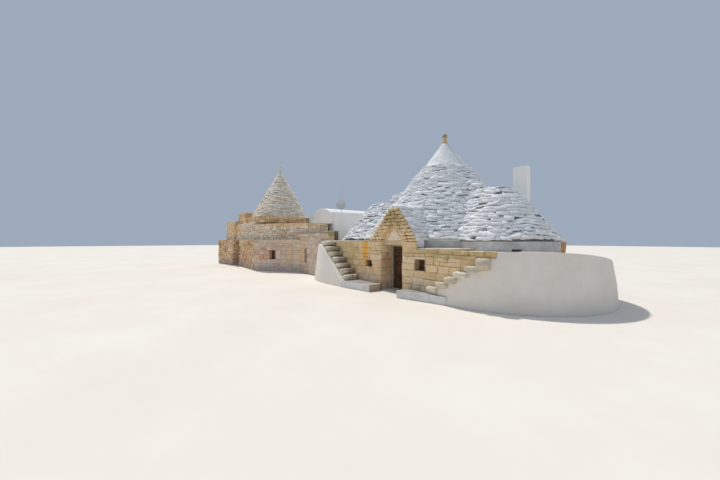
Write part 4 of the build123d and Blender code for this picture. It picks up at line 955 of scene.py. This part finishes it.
# Left, right, front line, rear line and level of each flat top, from the west to the front of the house
rng = random.Random(31)
topFront, topRear = (front - flags["edge"],) * 2, (rear + flags["edge"],) * 2
tops = [layFlags(*top) for top in (
    (-20.34, -17.02, (-6.765, -6.27), (0.53, 0.53), terrace),
    (-17.02, -16.08, (-5.17, -5.17), (0.53, 0.53), terrace),
    (-16.08, -11.56, (-5.975, -6.115), (0.53, 0.53), terrace),
    (-11.56, -8.27, (-6.115, -4.075), (-2.0, -2.0), terrace),
    (-8.27, -6.9, (-4.075, -4.075), (-2.3, -2.3), terrace),
    (-6.9, -3.3, (-4.05, -4.05), (-0.4, -0.4), linkTop),
    (-3.3, -0.82, (-4.19, -4.19), (-2.2, -3.6), linkTop),
    (2.05, 3.56, (-4.19, -4.19), (-3.3, -2.8), 1.78),
    (-17.03, -11.56, (-5.965, -5.99), (-0.57, -0.57), tiers["two"]),
    (-18.64, -16.97, (-6.39, -6.14), (-5.1, -5.1), tiers["west"]),
    (-11.56, -7.73, (-5.99, -2.93), (-2.0, -2.0), tiers["east"]),
    (-17.03, -11.27, topFront, topRear, tiers["three"]),
    (-17.03, -15.27, topFront, topRear, tiers["threeWest"], overSmallCone),
    (-8.3, lowEnd + 0.03, (-4.07, -4.07), (-3.6, -3.6), parapets["lowTop"]),
    (-7.8, -6.1, (-2.94, -2.94), (-2.47, -2.47), parapets["highTop"]),
)]
finishStones("cap_stones", tops, "flagStone", flags)
print("tops laid")

# Squared honey stone on the front, with both windows and the doorway left open
facade = {
    "y": -4.16, "doorLeft": 0.0, "doorRight": 1.3, "bench": 0.275, "leftTop": 2.05, "rightTop": 1.78,
    "frameY": -3.56, "recessY": -3.96, "sill": 0.05, "doorTop": 1.9, "lintelTop": 2.1, "nicheTop": 2.78,
    "pier": 0.75, "coping": 0.16, "behindBench": 0.1, "underCap": 0.02,
    "leftSteps": [(-1.62 - 0.336 * (i + 1), -1.62 - 0.336 * i, 0.5 + 0.25 * i) for i in range(5)],
    "rightSteps": [(2.76, 3.16, 0.52), (3.16, 3.56, 0.72)],
    "leftWindow": (-1.08, -0.6, 0.92, 1.21), "rightWindow": (1.92, 2.5, 0.97, 1.5),
    "rightLintel": ((2.21, -4.12, 1.445), (0.6, 0.13, 0.1), 0.004, (0.99, 1)),
}
turn = {"centre": (3.56, -1.0), "radius": 3.16, "stepAngle": 5.621, "steps": 4, "firstTop": 0.92, "rise": 0.2,
        "overhang": 3.6, "leftCentre": (-3.3, -1.35), "leftRadius": 2.81, "leftAngle": 6.851,
        "leftWall": 2.5, "leftSteps": 2, "leftFirst": 1.75, "leftRise": 0.25}


def windowHole(window, start):
    return [(window[0] - start, window[1] - start, window[2], window[3])]


rng = random.Random(37)
y, jamb, doorTop, leftTop = facade["y"], facade["doorRight"], facade["doorTop"], facade["leftTop"]
frameY, recessY = facade["frameY"], facade["recessY"]
wallEnd = -90 + turn["steps"] * turn["stepAngle"] + turn["overhang"]
rightLine = [(jamb, y), *roundPoints(turn["centre"], turn["radius"], -90, wallEnd, step=4)]
wallStart = -90 - turn["leftWall"] * turn["leftAngle"]
leftLine = [*roundPoints(turn["leftCentre"], turn["leftRadius"], wallStart, -90, step=4), (0, y)]
cornerLook = dict(ashlar, widths=(0.25, 0.4), heights=(0.26, 0.4), broken=0.1)
copingLook = dict(ashlar, heights=(0.14, 0.18), broken=0, toneRange=(0, 0.6), proud=(0.035, 0.07))
pierLook = dict(ashlar, toneRange=(0.1, 0.8))
nicheLook = dict(cornerLook, proud=(0.008, 0.014), jitter=0.003, sway=0)
copingLow = facade["rightTop"] - facade["coping"]
low = facade["bench"] - facade["behindBench"]
pierEnd = (jamb + facade["pier"], y)
walls = layRuns([
    (leftLine, low, leftTop, ashlar, windowHole(facade["leftWindow"], -lineLength(leftLine))),
    (rightLine, low, copingLow, ashlar, windowHole(facade["rightWindow"], jamb)),
    ([pierEnd, *rightLine[1:]], copingLow, facade["rightTop"] - facade["underCap"], copingLook),
    ([(jamb, y), pierEnd], copingLow, leftTop, pierLook),
    ([(0, y), (0, frameY)], facade["sill"], doorTop, cornerLook),
    ([(0, y), (0, recessY)], doorTop, leftTop, cornerLook),
    ([(jamb, frameY), (jamb, y)], facade["sill"], doorTop, cornerLook),
    ([(jamb, recessY), (jamb, y)], doorTop, leftTop, cornerLook),
    ([(0, recessY), (jamb, recessY)], facade["lintelTop"], facade["nicheTop"], nicheLook),
], rng)
lintel = newStones()
middle, size, jitter, tones = facade["rightLintel"]
addStone(lintel, Matrix.Translation(middle), size, jitter, rng, tones)
walls.append(lintel)
finishStones("front_ashlar", walls, "ashlar", ashlar)

# The gable's courses step in, and its stones are cut to the slope of the niche
gable = {"left": -0.72, "right": 1.96, "headLeft": 0.46, "headRight": 1.1, "spring": 2.13, "top": 3.37,
         "courses": 9, "nicheSpring": 2.2, "nicheTop": 2.8, "nicheLeast": 0.05, "nicheCut": 0.6, "depth": 0.3,
         "widths": (0.16, 0.42), "proud": (0.01, 0.05), "joint": 0.012, "jitter": 0.016, "tones": (0, 0.8)}
gableBevel = dict(ashlar, bevel=0.022, sway=0.016, swayScale=1.8)
gableMiddle = (gable["headLeft"] + gable["headRight"]) / 2
doorMiddle = (facade["doorLeft"] + facade["doorRight"]) / 2
nicheHalf = (facade["doorRight"] - facade["doorLeft"]) / 2
course = (gable["top"] - gable["spring"]) / gable["courses"]


def gableSides(i):
    step = max(i, 0) / (gable["courses"] - 1)
    left = gable["left"] + (gable["headLeft"] - gable["left"]) * step
    right = gable["right"] - (gable["right"] - gable["headRight"]) * step
    return left, right


def nicheEdge(z):
    share = min(max((gable["nicheTop"] - z) / (gable["nicheTop"] - gable["nicheSpring"]), 0), 1)
    return nicheHalf * share


rng = random.Random(41)
stones = newStones()
for i in range(-1, gable["courses"]):
    low = gable["spring"] + i * course if i >= 0 else facade["leftTop"]
    high = gable["spring"] + (i + 1) * course
    left, right = gableSides(i)
    niche = nicheEdge((low + high) / 2)
    spans = [(left, right)]
    if niche > gable["nicheLeast"]:
        spans = [(left, doorMiddle - niche), (doorMiddle + niche, right)]
    for start, end in spans:
        at = start
        for width in fitted(end - start, gable["widths"], rng):
            proud = rng.uniform(*gable["proud"])
            centre = Vector((at + width / 2, y + gable["depth"] / 2 - proud, (low + high) / 2))
            size = (width - gable["joint"], gable["depth"], high - low - gable["joint"])
            made = addStone(stones, Matrix.Translation(centre), size, gable["jitter"], rng, gable["tones"])
            at += width
            side = 1 if centre.x > doorMiddle else -1
            if len(spans) > 1 and side * (centre.x - doorMiddle) - niche < width * gable["nicheCut"]:
                for vert in made:
                    if side * (vert.co.x - centre.x) < 0:
                        vert.co.x = doorMiddle + side * nicheEdge(vert.co.z)
finishStones("gable_stones", [stones], "ashlar", gableBevel)
bm = bmesh.new()
gableCore = {"front": -3.9, "back": -2.3, "inset": 0.05, "foot": 2.11, "under": 0.03, "pierFront": -4.06,
             "pierBack": -3.64, "pierFoot": 1.7, "pierTop": 2.13, "pierInset": 0.04}
edges = [gableSides(i) + (gable["spring"] + i * course,) for i in range(-1, gable["courses"])]
edges.append((*edges[-1][:2], gable["top"] - gableCore["under"]))
outline = [(left + gableCore["inset"], z) for left, right, z in edges]
outline += [(right - gableCore["inset"], z) for left, right, z in reversed(edges)]
panel = [(x, gableCore["front"], max(z, gableCore["foot"])) for x, z in outline]
extrude(bm, panel, (0, gableCore["back"] - gableCore["front"], 0))
left, right = facade["doorRight"] + gableCore["pierInset"], gable["right"] - gableCore["pierInset"]
pier = [(left, gableCore["pierFront"]), (right, gableCore["pierFront"]), (right, gableCore["pierBack"]),
        (left, gableCore["pierBack"])]
addPrism(bm, pier, gableCore["pierFoot"], gableCore["pierTop"])
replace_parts(closeMesh("gable_core", bm, "earthJoint"), "door_gable", "gable_roof")

# Slates on the gable's two slopes, and the limewashed return on its right
gableSlates = dict(slates, widths=(0.2, 0.46), thickness=(0.09, 0.14), depth=0.3, proud=(-0.015, 0.03),
                   sway=0.02)
gableRows = {"behind": 0.07, "into": 0.2, "under": 0.06, "slope": 0.8}
capping = {"backs": (0.0, 0.3, 0.62, 0.95), "first": 0.16, "size": (0.6, 0.34, 0.08), "jitter": 0.02}
gableReturn = {"levels": (1.86, 1.97, 2.08), "behind": 0.27, "size": (0.05, 0.46, 0.13), "jitter": 0.006}
frontEdge = y + gableRows["behind"]
rows = []
for i in range(-1, gable["courses"]):
    left, right = gableSides(i)
    z = gable["spring"] + (i + 1) * course
    cone = radiusAt(mainCone["profile"], z)
    for x, heading in ((left, -1), (right, 1)):
        back = -math.sqrt(max(cone ** 2 - x ** 2, 0)) + gableRows["into"]
        line = [(x, frontEdge), (x, back)] if heading > 0 else [(x, back), (x, frontEdge)]
        rows.append(laySlates(line, z - gableRows["under"], gableRows["slope"], gableSlates, rng))
top = newStones()
for back in capping["backs"]:
    place = Matrix.Translation((gableMiddle, frontEdge + capping["first"] + back, gable["top"]))
    addStone(top, place, capping["size"], capping["jitter"], rng)
for z in gableReturn["levels"]:
    place = Matrix.Translation((gable["right"], y + gableReturn["behind"], z))
    addStone(top, place, gableReturn["size"], gableReturn["jitter"], rng)
rows.append(top)
finishStones("gable_slates", rows, "whiteSlate", gableSlates)
print("front laid")

# Limewashed battered walls: sections of a wall, each standing at an origin and facing outwards, that
# are bridged one to the next
whiteWalls = {
    "levels": 6, "bevel": 0.03, "rightBatter": ((3.4, 0), (3.35, 0.7), (3.19, 1.8)), "rightInner": 3.16,
    "sideInner": 2.98, "rightTop": 1.8, "sideEnd": 50, "innerChange": -53, "lip": 0.04,
    "leftBatter": ((3.78, 0), (3.55, 1.87)), "leftInner": 2.81, "leftTop": 1.87, "leftEnd": -162,
    "leftFoot": 0.2, "leftRise": 0.744, "leftTurnedRise": 2.1, "riser": 0.02, "under": 0.02, "turnStep": 2.5,
    "sideRadius": 3.2, "flatStations": 8, "ledgeFall": (0.45, 0.136, -0.147),
}


def ledgeHeight(x, y):
    level, alongX, alongY = whiteWalls["ledgeFall"]
    return level + alongX * x + alongY * y


def batterAt(batter, height):
    for (r0, z0), (r1, z1) in zip(batter, batter[1:]):
        if height <= z1:
            return r0 + (r1 - r0) * (height - z0) / (z1 - z0)
    return batter[-1][0]


def whiteWall(name, stations, batter, node):
    bm = bmesh.new()
    loops = []
    for origin, angle, inner, low, top in stations:
        heights = [low + (top - low) * i / whiteWalls["levels"] for i in range(whiteWalls["levels"] + 1)]
        section = [(inner, low), *[(batterAt(batter, z), z) for z in heights], (inner, top)]
        away = Vector((math.cos(math.radians(angle)), math.sin(math.radians(angle)), 0))
        verts = [bm.verts.new(Vector((*origin, z)) + away * radius) for radius, z in section]
        loops.append([bm.edges.new((a, b)) for a, b in zip(verts, verts[1:] + verts[:1])])
    for one, two in zip(loops, loops[1:]):
        bmesh.ops.bridge_loops(bm, edges=one + two)
    for end in (loops[0], loops[-1]):
        bmesh.ops.contextual_create(bm, geom=end)
    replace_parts(closeMesh(name, bm, "limewash", whiteWalls["bevel"]), node)


stairs = {"thickness": 0.19, "lastThickness": 0.3, "thicker": (0.95, 1.15), "nose": 0.05, "spread": 0.04,
          "jitter": 0.03, "yaw": 0.1, "roll": 0.07, "proud": (-0.01, 0.03), "rightDepth": 0.28,
          "leftDepth": 0.66, "rightLength": 0.36, "leftLength": 0.37, "bevel": 0.034, "sway": 0.02,
          "swayScale": 2.5, "crisp": False}
stations = []
for left, right, top in facade["rightSteps"]:
    for at in (left + whiteWalls["riser"] / 2, right - whiteWalls["riser"] / 2):
        stations.append(((at, turn["centre"][1]), -90, whiteWalls["rightInner"], 0,
                         top - stairs["thickness"] + whiteWalls["under"]))
riserAngle = math.degrees(whiteWalls["riser"] / turn["radius"])
for i in range(turn["steps"] + 1):
    first = -90 + i * turn["stepAngle"]
    last = min(first + turn["stepAngle"], wallEnd)
    top = min(turn["firstTop"] + i * turn["rise"] - stairs["thickness"], copingLow) + whiteWalls["under"]
    for angle in (first + riserAngle / 2, last - riserAngle / 2):
        stations.append((turn["centre"], angle, whiteWalls["rightInner"], 0, top))
angle = wallEnd + riserAngle / 2
while angle <= whiteWalls["sideEnd"]:
    inner = whiteWalls["rightInner"] if angle < whiteWalls["innerChange"] else whiteWalls["sideInner"]
    away = Vector((math.cos(math.radians(angle)), math.sin(math.radians(angle)))) * whiteWalls["sideRadius"]
    top = min(whiteWalls["rightTop"], ledgeHeight(*(Vector(turn["centre"]) + away)) + whiteWalls["lip"])
    stations.append((turn["centre"], angle, inner, 0, top))
    angle += whiteWalls["turnStep"]
whiteWall("right_white_plaster", stations, whiteWalls["rightBatter"], "right_white_wall")

stations = []
foot = facade["leftSteps"][0][1]
reach = foot - turn["leftCentre"][0]
for i in range(whiteWalls["flatStations"] + 1):
    run = reach * i / whiteWalls["flatStations"]
    stations.append(((foot - run, turn["leftCentre"][1]), -90, whiteWalls["leftInner"], 0,
                     whiteWalls["leftFoot"] + run * whiteWalls["leftRise"]))
top = stations[-1][-1]
angle = -90
while angle > whiteWalls["leftEnd"]:
    angle -= whiteWalls["turnStep"]
    height = min(top + math.radians(-90 - angle) * whiteWalls["leftTurnedRise"], whiteWalls["leftTop"])
    stations.append((turn["leftCentre"], angle, whiteWalls["leftInner"], 0, height))
whiteWall("left_white_plaster", stations, whiteWalls["leftBatter"], "left_white_wall")

# Benches: bare stone with limewash on the front only; the slabs' dark colour is partly their own and partly
# painted shade on the tops
benches = {
    "left": ((-1.64, -4.1), (-1.64, -5.1), (0.12, -4.88), (0.12, -4.3), (0.0, -4.1)),
    "right": ((1.67, -4.1), (1.67, -4.8), (3.56, -4.4), (3.56, -4.1)),
    "high": 0.275, "coat": 0.012, "into": 0.01, "under": 0.004,
    "fronts": (((-1.64, -5.1), (0.12, -4.88)), ((1.67, -4.8), (3.56, -4.4))),
}
bm = bmesh.new()
addPrism(bm, benches["left"], 0, benches["high"])
addPrism(bm, benches["right"], 0, benches["high"])
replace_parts(closeMesh("bench_slabs", bm, "benchTopStoneAndShade", 0.015), "benches")
bm = bmesh.new()
for (x0, y0), (x1, y1) in benches["fronts"]:
    outline = [(x0, y0 + benches["into"]), (x0, y0 - benches["coat"]), (x1, y1 - benches["coat"]),
               (x1, y1 + benches["into"])]
    addPrism(bm, outline, 0, benches["high"] - benches["under"])
closeMesh("bench_limewash", bm, "benchStone", bevel=0.004)

# The level ledge over the right stairs
ledge = {"inner": 1.8, "outer": 3.08, "low": 1.35, "high": 1.71, "end": -60}
outline = roundPoints(turn["centre"], ledge["outer"], -90, ledge["end"], step=4)
outline += roundPoints(turn["centre"], ledge["inner"], ledge["end"], -90, step=6)
bm = bmesh.new()
addPrism(bm, outline, ledge["low"], ledge["high"])
closeMesh("stair_ledge", bm, "limewash", bevel=0.01)
print("white walls done")

rng = random.Random(53)
stones = newStones()


def addStep(middle, heading, length, depth, top, thickness):
    # The middle is on the wall's face, and the stone stands out to the right of the heading
    place = (Matrix.Translation((*middle, top - thickness / 2))
             @ Matrix.Rotation(heading + rng.uniform(-stairs["yaw"], stairs["yaw"]), 4, "Z")
             @ Matrix.Rotation(rng.uniform(-stairs["roll"], stairs["roll"]), 4, "Y")
             @ Matrix.Translation((0, -(depth + stairs["nose"]) / 2 + rng.uniform(*stairs["proud"]), 0)))
    size = (length + stairs["spread"], depth + stairs["nose"], thickness * rng.uniform(*stairs["thicker"]))
    addStone(stones, place, size, stairs["jitter"], rng)


def addTurned(centre, radius, step, side, top, thickness):
    angle = math.radians(-90 + step)
    spot = (centre[0] + radius * math.cos(angle), centre[1] + radius * math.sin(angle))
    addStep(spot, angle + math.pi / 2, stairs[side + "Length"], stairs[side + "Depth"], top, thickness)


for side in ("left", "right"):
    for left, right, top in facade[side + "Steps"]:
        middle = ((left + right) / 2, facade["y"])
        addStep(middle, 0, right - left, stairs[side + "Depth"], top, stairs["thickness"])
for i in range(turn["steps"]):
    thickness = stairs["lastThickness"] if i == turn["steps"] - 1 else stairs["thickness"]
    addTurned(turn["centre"], turn["radius"], (i + 0.5) * turn["stepAngle"], "right",
              turn["firstTop"] + i * turn["rise"], thickness)
for i in range(turn["leftSteps"]):
    addTurned(turn["leftCentre"], turn["leftRadius"], -(i + 0.5) * turn["leftAngle"], "left",
              turn["leftFirst"] + turn["leftRise"] * i, stairs["thickness"])
steps = finishStones("rough_steps", [stones], "stepStone", stairs)
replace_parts(steps, "stepped_stones")
print("steps laid")

# Mast, crossbar and dish on the white block
mast = {"x": -7.6125, "y": -1.32, "foot": 3.97, "top": 5.6, "radius": 0.02, "bar": 0.7, "barRadius": 0.012,
        "dishHeight": 4.49, "dishRadius": 0.325, "dishDepth": 0.06, "thickness": 0.008, "reach": 0.15,
        "turn": 40, "dishRings": 6, "dishFacets": 32}
bm = bmesh.new()


def addRod(bm, start, end, radius):
    start, end = Vector(start), Vector(end)
    along = end - start
    place = Matrix.Translation((start + end) / 2) @ along.to_track_quat("Z", "Y").to_matrix().to_4x4()
    bmesh.ops.create_cone(bm, cap_ends=True, segments=12, radius1=radius, radius2=radius, depth=along.length,
                          matrix=place)


x, y = mast["x"], mast["y"]
addRod(bm, (x, y, mast["foot"]), (x, y, mast["top"]), mast["radius"])
barHeight = mast["top"] - 2 * mast["barRadius"]
addRod(bm, (x, y, barHeight), (x + mast["bar"], y, barHeight), mast["barRadius"])
facing = Matrix.Rotation(math.radians(mast["turn"]), 4, "Z")
hub = Vector((x, y, mast["dishHeight"]))
addRod(bm, hub, hub + facing @ Vector((0, -mast["reach"], 0)), mast["barRadius"])
rings = mast["dishRings"]
bowl = [(mast["dishRadius"] * i / rings, mast["dishDepth"] * (i / rings) ** 2) for i in range(rings + 1)]
section = bowl + [(radius, depth - mast["thickness"]) for radius, depth in reversed(bowl)]
dish = turnSection(section, (0, 0), mast["dishFacets"])
bmesh.ops.remove_doubles(dish, verts=dish.verts[:], dist=0.0005)
place = (Matrix.Translation(hub) @ facing @ Matrix.Translation((0, -mast["reach"], 0))
         @ Matrix.Rotation(math.radians(90), 4, "X"))
bmesh.ops.transform(dish, matrix=place, verts=dish.verts[:])
pour(dish, bm)
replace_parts(closeMesh("aerial_mast", bm, "zinc"), "aerial")

# Materials of the CAD nodes that stay
nodeMaterials = {
    "earthJoint": "front_wall_left front_wall_right west_front_wall west_rear_walls small_drum_front "
                  "small_drum_rear tier_two_front tier_two_rear tier_two_east tier_three",
    "limeJoint": "link_walls rear_wall_right rear_wall_left",
    "paleStone": "tympanum_stone",
    "lintelStone": "door_lintel",
    "screed": "wing_roofs floors right_ledge_front right_ledge_side left_ledge",
    "blockWash": "block_front_wall block_rear_wall block_side_walls block_vault block_shoulder chimney",
    "plinthWash": "plinth_drum",
    "timber": "front_door",
    "framePaint": "door_frame",
    "windowTimber": "window_frames",
    "pane": "door_glass window_glass",
    "castIron": "door_handle floodlight",
}
for material, names in nodeMaterials.items():
    for name in names.split():
        mesh = cadNodes[name].data
        mesh.materials.clear()
        mesh.materials.append(materials[material])
print("nodes painted")

# Floor, light and camera
ground = {"size": 120, "middle": (-6, 0, -0.003)}
bm = bmesh.new()
bmesh.ops.create_grid(bm, x_segments=1, y_segments=1, size=ground["size"],
                      matrix=Matrix.Translation(ground["middle"]))
mesh = bpy.data.meshes.new("studio_floor")
bm.to_mesh(mesh)
bm.free()
mesh.materials.append(materials["pavement"])
floor = bpy.data.objects.new("studio_floor", mesh)
bpy.context.collection.objects.link(floor)

studio = {"sky": (0.68, 0.81, 1.0), "skyStrength": 0.5, "sun": 2.6, "sunColour": (1.0, 0.96, 0.9),
          "sunAngle": 3, "travel": (0.6, -0.04, -1.0), "tone": "Standard"}
bpy.context.scene.view_settings.view_transform = studio["tone"]
world = bpy.data.worlds.new("studio")
bpy.context.scene.world = world
world.use_nodes = True
background = world.node_tree.nodes["Background"]
background.inputs["Color"].default_value = rgb(studio["sky"])
background.inputs["Strength"].default_value = studio["skyStrength"]
lamp = bpy.data.lights.new("key", "SUN")
lamp.energy = studio["sun"]
lamp.color = studio["sunColour"]
lamp.angle = math.radians(studio["sunAngle"])
key = bpy.data.objects.new("key", lamp)
key.rotation_euler = Vector(studio["travel"]).to_track_quat("-Z", "Y").to_euler()
bpy.context.collection.objects.link(key)

viewpoint = {"place": (9.77, -12.24, 2.1), "turn": 54.4, "lens": 15, "sensor": 36, "farthest": 400}
cameraData = bpy.data.cameras.new("camera")
cameraData.lens = viewpoint["lens"]
cameraData.sensor_width = viewpoint["sensor"]
cameraData.clip_end = viewpoint["farthest"]
camera = bpy.data.objects.new("camera", cameraData)
camera.location = viewpoint["place"]
camera.rotation_euler = (math.radians(90), 0, math.radians(viewpoint["turn"]))
bpy.context.collection.objects.link(camera)
bpy.context.scene.camera = camera
print("stage set")
